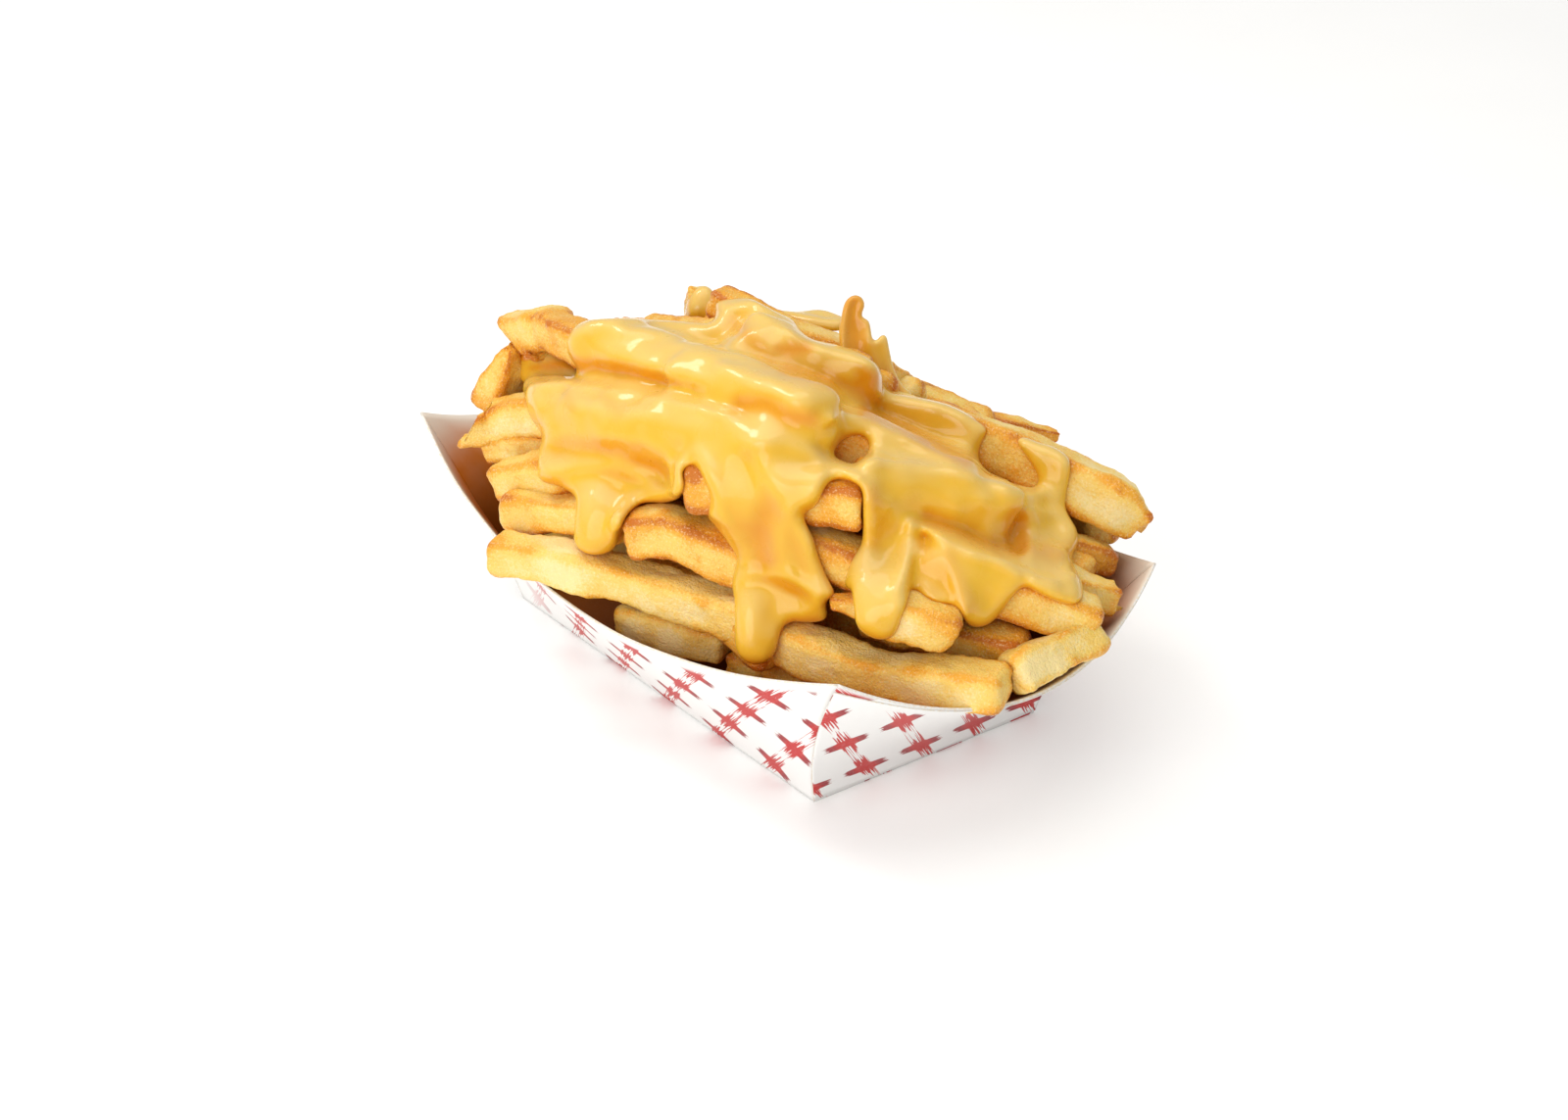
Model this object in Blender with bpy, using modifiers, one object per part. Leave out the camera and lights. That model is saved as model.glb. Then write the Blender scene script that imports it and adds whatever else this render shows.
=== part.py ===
"""Cheese fries heaped in a folded paper tray, at real size.

Metres, +Z up. The origin is the middle of the tray's underside and +X runs along the
tray. Sizes are named below in millimetres. A fry is a square stick carried along a
smooth path, the sauce is a coat over some of the fries, cut to the outline of each
pour as it is seen from where the tray is served.
"""

import math
import random
from dataclasses import dataclass, replace

import bmesh
import bpy
import numpy as np
from mathutils import Vector

MM = 0.001
WELD = 0.05
SHARP_ANGLE = 35.0

# Tray: a flat base, four flared walls with a bowed and dipped rim
BASE_LENGTH = 115.0
BASE_WIDTH = 62.4
TIP_HEIGHT = 44.0
FLARE_ALONG = 23.4
FLARE_ACROSS = 12.35
LONG_BOW = 10.6
LONG_DIP = 13.9
SHORT_BOW = 10.7
SHORT_DIP = 12.7
SHORT_CURL = 1.5
BOARD = 0.5
PLY_REACH = 0.985
PLY_BOTTOM = 0.03
PLY_TOP = 0.985
PLY_STANDS_OUT = 0.9
PLY_CORNER_DROP = 0.045
LONG_STEPS = 12
SHORT_STEPS = 8
WALL_STEPS = 2

# Fries: cut size and the number of flat sides and steps that a stick is drawn with
STICK = 9.5
STICK_CHAMFER = 0.17
STICK_STEP = 12.0
TIP_RUN = 1.6
GAP = 0.3
LIFT_STEP = 0.5
RIM_SHARE = 1.03

# Heart of the heap, under the fries that show
HEART_CENTRE = (0.0, 4.0, 34.0)
HEART_RADII = (58.0, 26.0, 28.0)
BED_LOW = (106.0, 52.0)
BED_HIGH = (118.0, 62.0)
BED_BOTTOM = 1.0
BED_TOP = 16.0

# Sauce: coat over the fries, seen from the serving side
EYE = (496.3, -371.2, 351.5)
AIM = (2.4, 2.3, 25.0)
COAT = 1.9
CURVED_GAP = 2.5 * GAP
SAUCE_VOXEL = 1.5
SMOOTHING = 0.5
POUR_CALM = 4
SAUCE_CALM = 5
SAUCE_TRIANGLES = 2600
POUR_NEAR = 0.80
POUR_FAR = 1.14
ABOVE = (35.0, 120.0)


@dataclass(frozen=True)
class Fry:
    """One stick: its middle line, cut size and how far each tip narrows."""

    path: tuple
    width: float = STICK
    height: float = STICK
    roll: float = 0.0
    tips: tuple = (1.0, 1.0)
    run: float = TIP_RUN


@dataclass(frozen=True)
class Pour:
    """One pour: the fries and strands that it coats, and its outline.

    The outline is in mm right of and above AIM as seen from EYE, or in x and y where
    the pour is seen from above.
    """

    over: tuple
    outline: tuple
    coat: float = COAT
    from_above: bool = False


# Fries that show from the serving side
SHOWN = {
    "front_long": Fry(((-20, -61, 37.5), (1.5, -48.5, 37.5), (34, -34.5, 37),
                       (62.5, -25, 36), (89, -11, 38))),
    "right_front": Fry(((87, -12.5, 37.5), (86, 16, 38.5)), 9, 8.5, -18, (1, 0.85)),
    "right_mid": Fry(((67.5, -11, 56), (89, 19, 41)), 9, 10),
    "right_low_a": Fry(((70.5, 13.5, 47), (79.5, 30, 40)), 9, 9.5, 0, (1, 0.8)),
    "right_low_b": Fry(((61.5, 21, 49), (70, 41, 41)), 8, 8, 0, (1, 0.7)),
    "wedge": Fry(((21, 13, 66), (44.5, 30, 60.5), (64, 41.5, 54.5), (72, 47, 48)),
                 10, 10.5, 0, (1, 0.6)),
    "far_tip": Fry(((9.5, 42, 54), (24.5, 65.5, 48)), 6.5, 6, 0, (1, 0.7)),
    "back_long": Fry(((-28.5, 20, 68), (19.5, 48, 51)), 8, 8),
    "top_a": Fry(((-22.5, 1.5, 82), (-2.5, 6, 78), (7, 18, 71)), 9, 9.5, 0, (0.7, 1)),
    "top_b": Fry(((4, -10, 82), (26, 8.5, 77)), 9, 9.5),
    "back_stub": Fry(((-36.5, 7, 76), (-49.5, 14, 58)), 5, 8),
    "left_point": Fry(((-62, -29, 72), (-45.5, -28.5, 74), (-27.5, -30, 77), (38, -19.5, 80)),
                      tips=(0.1, 1), run=2.6),
    "left_yellow": Fry(((-58.5, -27.5, 60), (-22, -18, 66)), 8, 7),
    "left_brown": Fry(((-54.5, -35.5, 66), (-60, -37, 50)), 11, 9, 0, (0.4, 1)),
    "left_main": Fry(((-57, -46, 50), (-40.5, -38, 57), (-1.5, -37.5, 69), (41.5, -27, 76)),
                     tips=(0.7, 1)),
    "left_lower": Fry(((-35.5, -50, 46), (11.5, -33.5, 64)), 9, 9.5),
    "left_under": Fry(((-52, -42, 46), (-17, -32.5, 58)), 8, 7),
    "left_small": Fry(((-27, -51.5, 43), (4.5, -42, 50)), 9, 9),
    "mid_brown": Fry(((10, -45, 50), (18, -38.5, 51), (34, -32, 49), (49, -23, 46)), 9.5, 10),
    "across": Fry(((24.5, -39, 66), (55, -20.5, 67))),
    "under_across": Fry(((43, -28.5, 58), (59.5, -17, 52))),
    "small_tip": Fry(((57.5, -27.5, 48), (71, -14, 46)), 5.5, 5, 0, (0.6, 1)),
    "blunt_end": Fry(((70, -21.5, 51), (79.5, -13, 46.5)), 8.5, 9, 0, (1, 0.75)),
    "mid_right": Fry(((50.5, -16.5, 70), (65.5, 14, 61))),
    "mid_back": Fry(((37.5, -12.5, 74), (56, 14, 66))),
    "low_front": Fry(((4.5, -44, 25), (28.5, -32, 24.5)), 8.5, 8.5),
    "low_tip": Fry(((27.5, -31.5, 22), (36, -27.5, 20)), 7, 7),
    "low_b": Fry(((38, -29.5, 24.5), (64, -12, 17)), 9, 9),
    "ridge": Fry(((7.5, -28, 80), (43.5, -20, 83)), 9, 9),
    "glimpse": Fry(((54, 20.5, 58), (66.5, 19.5, 42)), 9, 9),
    "far_mid": Fry(((-48, -7.5, 69.5), (-20, -10, 71)), 7, 7, 0, (0.4, 1)),
    "top_back": Fry(((-31, -13, 74), (-8, -2, 78)), 8, 8),
}

# Fries on the far side and at the left end
BEHIND = {
    "far_rim": Fry(((-72, 28, 40), (-40, 44, 39), (-6, 51, 38))),
    "far_rest": Fry(((-22, 58, 38), (20, 52, 40), (52, 46, 40)), roll=10),
    "far_right": Fry(((28, 57, 40), (64, 44, 42)), 9, 9),
    "far_high": Fry(((-44, 26, 60), (14, 32, 62)), 9, 9.5, 12),
    "far_lean": Fry(((-2, 56, 44), (6, 22, 68)), 9, 9, 5),
    "far_cross": Fry(((-58, 46, 44), (-34, 8, 62)), roll=8),
    "far_shoulder": Fry(((12, 44, 52), (52, 36, 52)), 9, 9),
    "left_far_a": Fry(((-80, -4, 38), (-40, 22, 52)), roll=15),
    "left_far_b": Fry(((-82, 16, 40), (-38, 2, 50)), 9, 9.5),
    "left_far_c": Fry(((-70, -22, 46), (-28, 4, 64)), 9, 9),
    "left_rest": Fry(((-76, -30, 40), (-44, -8, 48)), 9, 9, 0, (0.7, 1)),
    "top_under": Fry(((-30, 8, 70), (24, 14, 70)), 9, 9.5),
    "far_short": Fry(((-26, 44, 48), (0, 40, 54)), 9, 9, 20),
    "right_under": Fry(((38, 8, 46), (75, 30, 42)), 9, 9),
    "left_support": Fry(((-58, -34, 40), (-6, -30, 48)), 9, 9),
}

# Fries that fill the heap under those: height, how many, half length and near and far side
FILL_ROWS = (
    (22.0, 4, 46.0, -30.0, 30.0),
    (34.0, 6, 50.0, -33.0, 36.0),
    (46.0, 6, 44.0, -31.0, 30.0),
    (58.0, 5, 34.0, -24.0, 22.0),
    (68.0, 3, 22.0, -18.0, 10.0),
)
SEED = 11
FILL_SECTION = (8.5, 9.0)
FILL_LENGTH = (48.0, 74.0)
FILL_SHIFT = 0.35
FILL_HEADING = 8.0
FILL_TURN = 24.0
FILL_NARROWING = 0.6
FILL_TILT = 2.5
FILL_ROLL = 25.0

# Strands of sauce that hang clear of the fries
STRANDS = {
    "flow_left": Fry(((40, -34, 70), (38, -33, 60), (41, -33.5, 51), (43, -32, 42)), 10, 6),
    "flow_right": Fry(((46, -30, 70), (48, -30, 58), (50, -28, 48), (50, -27, 41)), 10, 6),
    "drip_centre": Fry(((43, -34, 44), (46, -37.5, 39), (47.5, -38.5, 33)), 9, 6),
    "drip_left": Fry(((-4, -43.5, 55), (1.5, -47.5, 50), (4, -49, 44)), 8, 6),
    "stream_right": Fry(((56, -16, 70), (60.5, -20, 58), (69, -25.5, 50), (75, -28.5, 44)), 9, 6),
    "stream_thin": Fry(((56, -8, 66), (66, -14, 58), (75, -21, 48)), 6, 5),
    "band_fall": Fry(((56, 34, 60), (66, 28, 55), (75, 20, 50), (84, 14, 47)), 12, 7),
    "saddle": Fry(((-10, -6, 74), (20, -12, 78), (38, -15, 78)), 12, 8),
    "crook_post": Fry(((8.5, 16, 88.5), (7, 17, 80), (8, 18, 68)), 4.5, 5.5),
    "crook_stub": Fry(((7.5, 25.5, 79), (8, 25, 72), (12, 22, 64)), 5, 5),
    "crook_foot": Fry(((2, 16, 72), (14, 21, 71), (22, 24, 66)), 8, 8),
}

# Sauce pours
POURS = (
    Pour(("left_main", "left_lower", "left_small", "left_under", "ridge", "drip_left"),
         ((-59.5, 42), (-40.5, 41.5), (-22.5, 38), (-2.5, 34), (0, 20.5), (-22.5, 23),
          (-23.5, 18), (-31.5, 14.5), (-37.5, 13.5), (-37.5, 4.5), (-42.5, 1), (-47.5, 4.5),
          (-47.5, 12.5), (-52.5, 16), (-57, 18), (-55.5, 29), (-58.5, 32))),
    Pour(("left_point", "ridge", "left_main", "across"),
         ((-47.5, 54), (-36, 54.5), (-13.5, 50), (0, 44), (11.5, 33), (11.5, 23),
          (-9, 27.5), (-40.5, 38.5), (-47, 41.5), (-50, 48.5))),
    Pour(("across", "ridge", "left_main", "mid_brown", "front_long", "flow_left",
          "flow_right", "drip_centre"),
         ((-22.5, 24.5), (-2.5, 32), (11.5, 29.5), (19, 19), (17, 16), (9.5, 16.5),
          (5.5, 11.5), (6, 2.5), (10.5, -9), (11, -13.5), (2.5, -15.5), (-1, -20),
          (-3.5, -23.5), (-8, -22.5), (-10.5, -17.5), (-11.5, -1), (-17, 10), (-17.5, 16))),
    Pour(("mid_back", "mid_right", "right_mid", "stream_right", "stream_thin", "glimpse",
          "saddle"),
         ((10, 33), (23.5, 32.5), (45, 23), (53.5, 18), (52.5, 7), (55.5, -2.5), (53, -7.5),
          (48, -15), (44, -16), (39, -9), (35.5, 2.5), (30, 5.5), (29.5, -6.5), (28, -15.5),
          (24, -19), (20.5, -17), (19, -11.5), (14, -6), (19, 5.5), (16, 16), (18, 22.5),
          (11.5, 23.5))),
    Pour(("wedge", "mid_back", "top_b", "saddle"),
         ((18, 41), (36, 38.5), (47.5, 30.5), (45, 20.5), (36, 23), (20.5, 29.5))),
    Pour(("wedge", "right_low_b", "right_low_a", "glimpse", "band_fall"),
         ((54, 27.5), (66.5, 23.5), (66, 11.5), (68.5, 5.5), (66.5, -1), (69, -7.5),
          (65.5, -11), (59, -9), (56, -4), (55.5, 7), (51, 16))),
    Pour(("top_a", "top_b", "top_back", "far_mid", "ridge", "left_point", "saddle"),
         ((-14, 61), (0, 56), (14, 50.5), (22.5, 45), (22.5, 37.5), (9, 32), (-9, 38.5),
          (-18, 47.5), (-32.5, 49.5), (-32.5, 54), (-17.5, 55))),
    Pour(("crook_post", "crook_stub", "crook_foot", "top_b"),
         ((11, 62), (19, 62), (20, 55), (25, 54), (28, 38), (19, 36), (10, 42))),
    Pour(("far_high", "top_under", "back_stub", "far_cross"),
         ((-50, 8), (-42, 16), (-24, 17), (-6, 15), (12, 22), (16, 34), (8, 42), (2, 37),
          (-4, 40), (-9, 47), (-14, 40), (-26, 37), (-38, 32), (-46, 20)), from_above=True),
)


def remove_startup_objects():
    """Removes what the scene starts with."""
    for obj in list(bpy.data.objects):
        bpy.data.objects.remove(obj, do_unlink=True)


def new_collection(name):
    """Adds a collection under the scene's own."""
    made = bpy.data.collections.new(name)
    bpy.context.scene.collection.children.link(made)
    return made


def new_material(name, colour, roughness, metallic=0.0):
    """A Principled material of one colour."""
    made = bpy.data.materials.new(name)
    made.use_nodes = True
    shader = made.node_tree.nodes["Principled BSDF"]
    shader.inputs["Base Color"].default_value = (*colour, 1.0)
    shader.inputs["Roughness"].default_value = roughness
    shader.inputs["Metallic"].default_value = metallic
    made.diffuse_color = (*colour, 1.0)
    return made


def new_object(name, bm, collection):
    """Makes an object of a bmesh, which is in mm, and frees the bmesh."""
    bmesh.ops.scale(bm, vec=(MM, MM, MM), verts=bm.verts)
    bmesh.ops.recalc_face_normals(bm, faces=bm.faces)
    mesh = bpy.data.meshes.new(name)
    bm.to_mesh(mesh)
    bm.free()
    obj = bpy.data.objects.new(name, mesh)
    collection.objects.link(obj)
    return obj


def apply_modifiers(obj):
    """Replaces an object's mesh by what its modifiers make of it."""
    graph = bpy.context.evaluated_depsgraph_get()
    made = bpy.data.meshes.new_from_object(obj.evaluated_get(graph))
    obj.modifiers.clear()
    old = obj.data
    obj.data = made
    bpy.data.meshes.remove(old)


def cut(obj, other, operation, solver="MANIFOLD"):
    """Joins, cuts or crosses an object with another one, or with a collection."""
    step = obj.modifiers.new(operation.title(), "BOOLEAN")
    step.operation = operation
    step.solver = solver
    if isinstance(other, bpy.types.Collection):
        step.operand_type = "COLLECTION"
        step.collection = other
    else:
        step.object = other
    apply_modifiers(obj)


def melt(obj, calm_steps):
    """Melts an object's bodies into one skin of even faces, and smooths it."""
    skin = obj.modifiers.new("Melt", "REMESH")
    skin.mode = "VOXEL"
    skin.voxel_size = SAUCE_VOXEL * MM
    skin.adaptivity = 0.0
    calm = obj.modifiers.new("Calm", "SMOOTH")
    calm.factor = SMOOTHING
    calm.iterations = calm_steps
    apply_modifiers(obj)


def keep_largest(obj):
    """Keeps the largest of an object's shells: drops scraps and fills sealed hollows."""
    bm = bmesh.new()
    bm.from_mesh(obj.data)
    waiting = set(bm.verts)
    shells = []
    while waiting:
        front = [waiting.pop()]
        shell = list(front)
        while front:
            near = {e.other_vert(v) for v in front for e in v.link_edges} & waiting
            waiting -= near
            front = list(near)
            shell += front
        shells.append(shell)
    largest = set(max(shells, key=len))
    bmesh.ops.delete(bm, geom=[v for v in bm.verts if v not in largest], context="VERTS")
    bm.to_mesh(obj.data)
    bm.free()


def finish(obj, material):
    """Gives an object its material and smooth shading between sharp edges."""
    obj.data.materials.clear()
    obj.data.materials.append(material)
    obj.data.shade_smooth()
    obj.data.set_sharp_from_angle(angle=math.radians(SHARP_ANGLE))


def long_wall(u, v, side):
    """Point of a long wall: u runs -1 to 1 along it and v runs 0 to 1 up it."""
    crown = 1 - u * u
    return Vector((
        u * (BASE_LENGTH / 2 + FLARE_ALONG * v ** SHORT_CURL),
        side * (BASE_WIDTH / 2 + (FLARE_ACROSS + LONG_BOW * crown) * v),
        (TIP_HEIGHT - LONG_DIP * crown) * v,
    ))


def short_wall(u, v, side, outwards=0.0):
    """Point of a short wall, with u across the tray and v up the wall."""
    crown = 1 - u * u
    return Vector((
        side * (BASE_LENGTH / 2 + (FLARE_ALONG + SHORT_BOW * crown) * v ** SHORT_CURL
                + outwards),
        u * (BASE_WIDTH / 2 + FLARE_ACROSS * v),
        (TIP_HEIGHT - SHORT_DIP * crown) * v,
    ))


def add_wall(bm, point, steps):
    """Adds a grid and moves its points onto a wall, point(u, v)."""
    made = bmesh.ops.create_grid(bm, x_segments=steps, y_segments=WALL_STEPS, size=1.0)
    for vert in made["verts"]:
        vert.co = point(vert.co.x, (vert.co.y + 1) / 2)


def tray_shell():
    """The folded blank: four walls sewn at the corners and closed by the base."""
    bm = bmesh.new()
    for side in (-1, 1):
        add_wall(bm, lambda u, v, s=side: long_wall(u, v, s), LONG_STEPS)
        add_wall(bm, lambda u, v, s=side: short_wall(u, v, s), SHORT_STEPS)
    bmesh.ops.remove_doubles(bm, verts=bm.verts, dist=WELD)
    foot = [e for e in bm.edges if e.is_boundary and max(v.co.z for v in e.verts) < WELD]
    bmesh.ops.contextual_create(bm, geom=foot)
    return bm


def outer_ply(side):
    """The second ply on a short wall, whose top edge falls towards its corners."""
    bm = bmesh.new()

    def place(u, v):
        top = PLY_TOP - PLY_CORNER_DROP * u ** 4
        height = PLY_BOTTOM + (top - PLY_BOTTOM) * v
        return short_wall(u * PLY_REACH, height, side, PLY_STANDS_OUT * BOARD)

    add_wall(bm, place, SHORT_STEPS)
    return bm


def thicken(obj, offset):
    """Gives an open shell the board's thickness."""
    wall = obj.modifiers.new("Board", "SOLIDIFY")
    wall.thickness = BOARD * MM
    wall.offset = offset
    wall.use_even_offset = True
    apply_modifiers(obj)


def turn_outwards(obj, side_of):
    """Turns a shell's faces so that their normals point where side_of says."""
    bm = bmesh.new()
    bm.from_mesh(obj.data)
    bm.faces.ensure_lookup_table()
    face = max(bm.faces, key=lambda f: f.calc_area())
    if face.normal.dot(side_of) < 0:
        bmesh.ops.reverse_faces(bm, faces=bm.faces)
    bm.to_mesh(obj.data)
    bm.free()


def make_tray(parts, material):
    """The paper tray: one board shell with a second ply on each short wall."""
    tray = new_object("tray", tray_shell(), parts)
    turn_outwards(tray, Vector((0, 0, -1)))
    thicken(tray, -1.0)
    for side in (-1, 1):
        ply = new_object("ply", outer_ply(side), parts)
        turn_outwards(ply, Vector((side, 0, -1)))
        thicken(ply, 0.0)
        cut(tray, ply, "UNION", "EXACT")
        bpy.data.objects.remove(ply, do_unlink=True)
    keep_largest(tray)
    finish(tray, material)
    return tray


def room_in_tray(points):
    """Smallest distance, in mm, from points to the inner faces of the tray's walls.

    Height on a wall gives v, and v gives how far out the wall stands there. A point
    that stands higher than RIM_SHARE of the wall has room.
    """
    x, y, z = np.abs(points[:, 0]), np.abs(points[:, 1]), points[:, 2]
    room = z - BOARD
    u = np.minimum(x / (BASE_LENGTH / 2 + FLARE_ALONG * z / TIP_HEIGHT), 1.0)
    v = z / (TIP_HEIGHT - LONG_DIP * (1 - u * u))
    wall = BASE_WIDTH / 2 + (FLARE_ACROSS + LONG_BOW * (1 - u * u)) * v
    room = np.where(v < RIM_SHARE, np.minimum(room, wall - BOARD - y), room)
    u = np.minimum(y / (BASE_WIDTH / 2 + FLARE_ACROSS * z / TIP_HEIGHT), 1.0)
    v = np.maximum(z, 0.0) / (TIP_HEIGHT - SHORT_DIP * (1 - u * u))
    wall = BASE_LENGTH / 2 + (FLARE_ALONG + SHORT_BOW * (1 - u * u)) * v ** SHORT_CURL
    room = np.where(v < RIM_SHARE, np.minimum(room, wall - BOARD - x), room)
    return float(room.min())


def smooth_path(points, where):
    """Point of the smooth curve through a path's points, with where from 0 to 1."""
    points = [Vector(p) for p in points]
    if len(points) == 2:
        return points[0].lerp(points[1], where)
    ends = [2 * points[0] - points[1], *points, 2 * points[-1] - points[-2]]
    place = min(where, 0.9999) * (len(points) - 1)
    a, b, c, d = ends[int(place):int(place) + 4]
    t = place % 1.0
    return 0.5 * (2 * b + (c - a) * t + (2 * a - 5 * b + 4 * c - d) * t ** 2
                  + (3 * b - a - 3 * c + d) * t ** 3)


def path_length(fry):
    """Length of a fry from tip to tip."""
    return (Vector(fry.path[-1]) - Vector(fry.path[0])).length


def section_frame(fry, where):
    """Middle, sideways and upward directions of a fry's section."""
    step = 0.02
    along = (smooth_path(fry.path, min(where + step, 1.0))
             - smooth_path(fry.path, max(where - step, 0.0))).normalized()
    side = Vector((0, 0, 1)).cross(along).normalized()
    up = along.cross(side)
    roll = math.radians(fry.roll)
    turned = side * math.cos(roll) + up * math.sin(roll)
    return smooth_path(fry.path, where), turned, along.cross(turned)


def tip_scale(fry, where):
    """How much of its full size a fry has there: it narrows over its tip's run."""
    run = fry.run * fry.height / path_length(fry)
    near = min(where / run, 1.0)
    far = min((1 - where) / run, 1.0)
    return (fry.tips[0] + (1 - fry.tips[0]) * near) * (fry.tips[1] + (1 - fry.tips[1]) * far)


def fry_bmesh(fry, grow=0.0):
    """A stick with chamfered edges, carried along its path, grow mm larger all round."""
    bm = bmesh.new()
    bmesh.ops.create_cube(bm, size=1.0)
    long_edges = [e for e in bm.edges if abs(e.verts[0].co.x - e.verts[1].co.x) > 0.5]
    bmesh.ops.bevel(bm, geom=long_edges, offset=STICK_CHAMFER, segments=1, affect="EDGES")
    plain = len(fry.path) == 2 and fry.tips == (1.0, 1.0)
    steps = 1 if plain else max(3, round(path_length(fry) / STICK_STEP))
    for step in range(1, steps):
        bmesh.ops.bisect_plane(
            bm, geom=bm.verts[:] + bm.edges[:] + bm.faces[:],
            plane_co=(step / steps - 0.5, 0, 0), plane_no=(1, 0, 0))
    stretch = 1 + 2 * grow / path_length(fry)
    for vert in bm.verts:
        where = vert.co.x + 0.5
        middle, side, up = section_frame(fry, where)
        scale = tip_scale(fry, where)
        end = (smooth_path(fry.path, 1.0) - smooth_path(fry.path, 0.0)).normalized()
        middle = middle + end * (vert.co.x * (stretch - 1) * path_length(fry))
        vert.co = (middle + side * vert.co.y * (fry.width * scale + 2 * grow)
                   + up * vert.co.z * (fry.height * scale + 2 * grow))
    return bm


def fry_points(fry):
    """A fry's points as an array."""
    bm = fry_bmesh(fry)
    points = np.array([v.co for v in bm.verts])
    bm.free()
    return points


def lifted(fry):
    """The fry, raised in small steps until it is clear of the tray's walls."""
    while room_in_tray(fry_points(fry)) < 2 * GAP:
        path = tuple((x, y, z + LIFT_STEP) for x, y, z in fry.path)
        fry = replace(fry, path=path)
    return fry


def fill_fries():
    """Fries of the inside, row on row, turned and tilted by a seeded rule."""
    draw = random.Random(SEED)
    made = {}
    for row, (height, count, half_length, near, far) in enumerate(FILL_ROWS):
        for place in range(count):
            y = near + (far - near) * place / (count - 1)
            x = draw.uniform(-FILL_SHIFT, FILL_SHIFT) * half_length
            turn = math.radians(FILL_HEADING + draw.uniform(-FILL_TURN, FILL_TURN))
            half = min(draw.uniform(*FILL_LENGTH) / 2, half_length)
            dx = half * math.cos(turn)
            dy = half * math.sin(turn) * FILL_NARROWING
            dz = draw.uniform(-FILL_TILT, FILL_TILT)
            path = ((x - dx, y - dy, height - dz), (x + dx, y + dy, height + dz))
            roll = draw.uniform(-FILL_ROLL, FILL_ROLL)
            made[f"fill_{row}_{place}"] = Fry(path, *FILL_SECTION, roll)
    return made


def heart_objects(collection, grow=0.0):
    """The heap's heart: a bed on the tray's base and a mound on it."""
    bm = bmesh.new()
    bmesh.ops.create_cube(bm, size=1.0)
    for vert in bm.verts:
        size = BED_HIGH if vert.co.z > 0 else BED_LOW
        height = BED_TOP if vert.co.z > 0 else BED_BOTTOM
        vert.co = (vert.co.x * size[0], vert.co.y * size[1], height)
    bed = new_object("bed", bm, collection)
    bm = bmesh.new()
    bmesh.ops.create_icosphere(bm, subdivisions=2, radius=1.0)
    for vert in bm.verts:
        vert.co = Vector(
            c + (r + grow) * s for c, r, s in zip(HEART_CENTRE, HEART_RADII, vert.co))
    mound = new_object("mound", bm, collection)
    return bed, mound


def make_fries(parts, cutters, fries, material):
    """The heap of fries: every stick fused with the heart in one union."""
    heart_objects(cutters)
    heap = new_object("fries", fry_bmesh(fries["front_long"]), parts)
    for name, fry in fries.items():
        if name != "front_long":
            new_object(name, fry_bmesh(fry), cutters)
    cut(heap, cutters, "UNION")
    for obj in list(cutters.objects):
        bpy.data.objects.remove(obj, do_unlink=True)
    keep_largest(heap)
    finish(heap, material)
    return heap


def prism_from_above(outline, cutters):
    """The upright space over an outline in x and y."""
    low, high = ABOVE
    bm = bmesh.new()
    floor = bm.faces.new([bm.verts.new((x, y, low)) for x, y in outline])
    made = bmesh.ops.extrude_face_region(bm, geom=[floor])["geom"]
    lid = [v for v in made if isinstance(v, bmesh.types.BMVert)]
    bmesh.ops.translate(bm, vec=(0, 0, high - low), verts=lid)
    return new_object("outline", bm, cutters)


def prism_from_eye(outline, cutters):
    """The space that an outline sweeps as seen from the serving side."""
    eye, aim = Vector(EYE), Vector(AIM)
    back = (eye - aim).normalized()
    right = Vector((0, 0, 1)).cross(back).normalized()
    up = back.cross(right)
    bm = bmesh.new()
    spots = [aim + right * x + up * y for x, y in outline]
    near = bm.faces.new([bm.verts.new(eye + (p - eye) * POUR_NEAR) for p in spots])
    far = bmesh.ops.extrude_face_region(bm, geom=[near])["geom"]
    for vert in far:
        if isinstance(vert, bmesh.types.BMVert):
            vert.co = eye + (vert.co - eye) * (POUR_FAR / POUR_NEAR)
    return new_object("outline", bm, cutters)


def pour_body(index, pour, fries, cutters):
    """One pour: its fries grown by the coat and melted together, cut to its outline."""
    first, *rest = [
        fry_bmesh(STRANDS[name]) if name in STRANDS else fry_bmesh(fries[name], pour.coat)
        for name in pour.over]
    body = new_object(f"pour_{index}", first, cutters)
    others = bpy.data.collections.new("coat")
    for number, grown in enumerate(rest):
        new_object(f"coat_{number}", grown, others)
    cut(body, others, "UNION")
    for obj in list(others.objects):
        bpy.data.objects.remove(obj, do_unlink=True)
    bpy.data.collections.remove(others)
    melt(body, POUR_CALM)
    prism = (prism_from_above if pour.from_above else prism_from_eye)(pour.outline, cutters)
    cut(body, prism, "INTERSECT")
    bpy.data.objects.remove(prism, do_unlink=True)
    return body


def make_sauce(parts, cutters, fries, material):
    """The cheese sauce: all pours melted together, and hollowed over the fries."""
    bodies = [pour_body(i, pour, fries, cutters) for i, pour in enumerate(POURS)]
    sauce = new_object("cheese_sauce", bmesh.new(), parts)
    bm = bmesh.new()
    for body in bodies:
        bm.from_mesh(body.data)
        bpy.data.objects.remove(body, do_unlink=True)
    bm.to_mesh(sauce.data)
    bm.free()
    melt(sauce, SAUCE_CALM)
    thin = sauce.modifiers.new("Thin", "DECIMATE")
    thin.ratio = min(1.0, SAUCE_TRIANGLES / (2 * len(sauce.data.polygons)))
    apply_modifiers(sauce)
    heart_objects(cutters, 2 * GAP)
    for name, fry in fries.items():
        gap = GAP if len(fry.path) == 2 else CURVED_GAP
        new_object(name, fry_bmesh(fry, gap), cutters)
    cut(sauce, cutters, "DIFFERENCE")
    for obj in list(cutters.objects):
        bpy.data.objects.remove(obj, do_unlink=True)
    keep_largest(sauce)
    finish(sauce, material)
    return sauce


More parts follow.
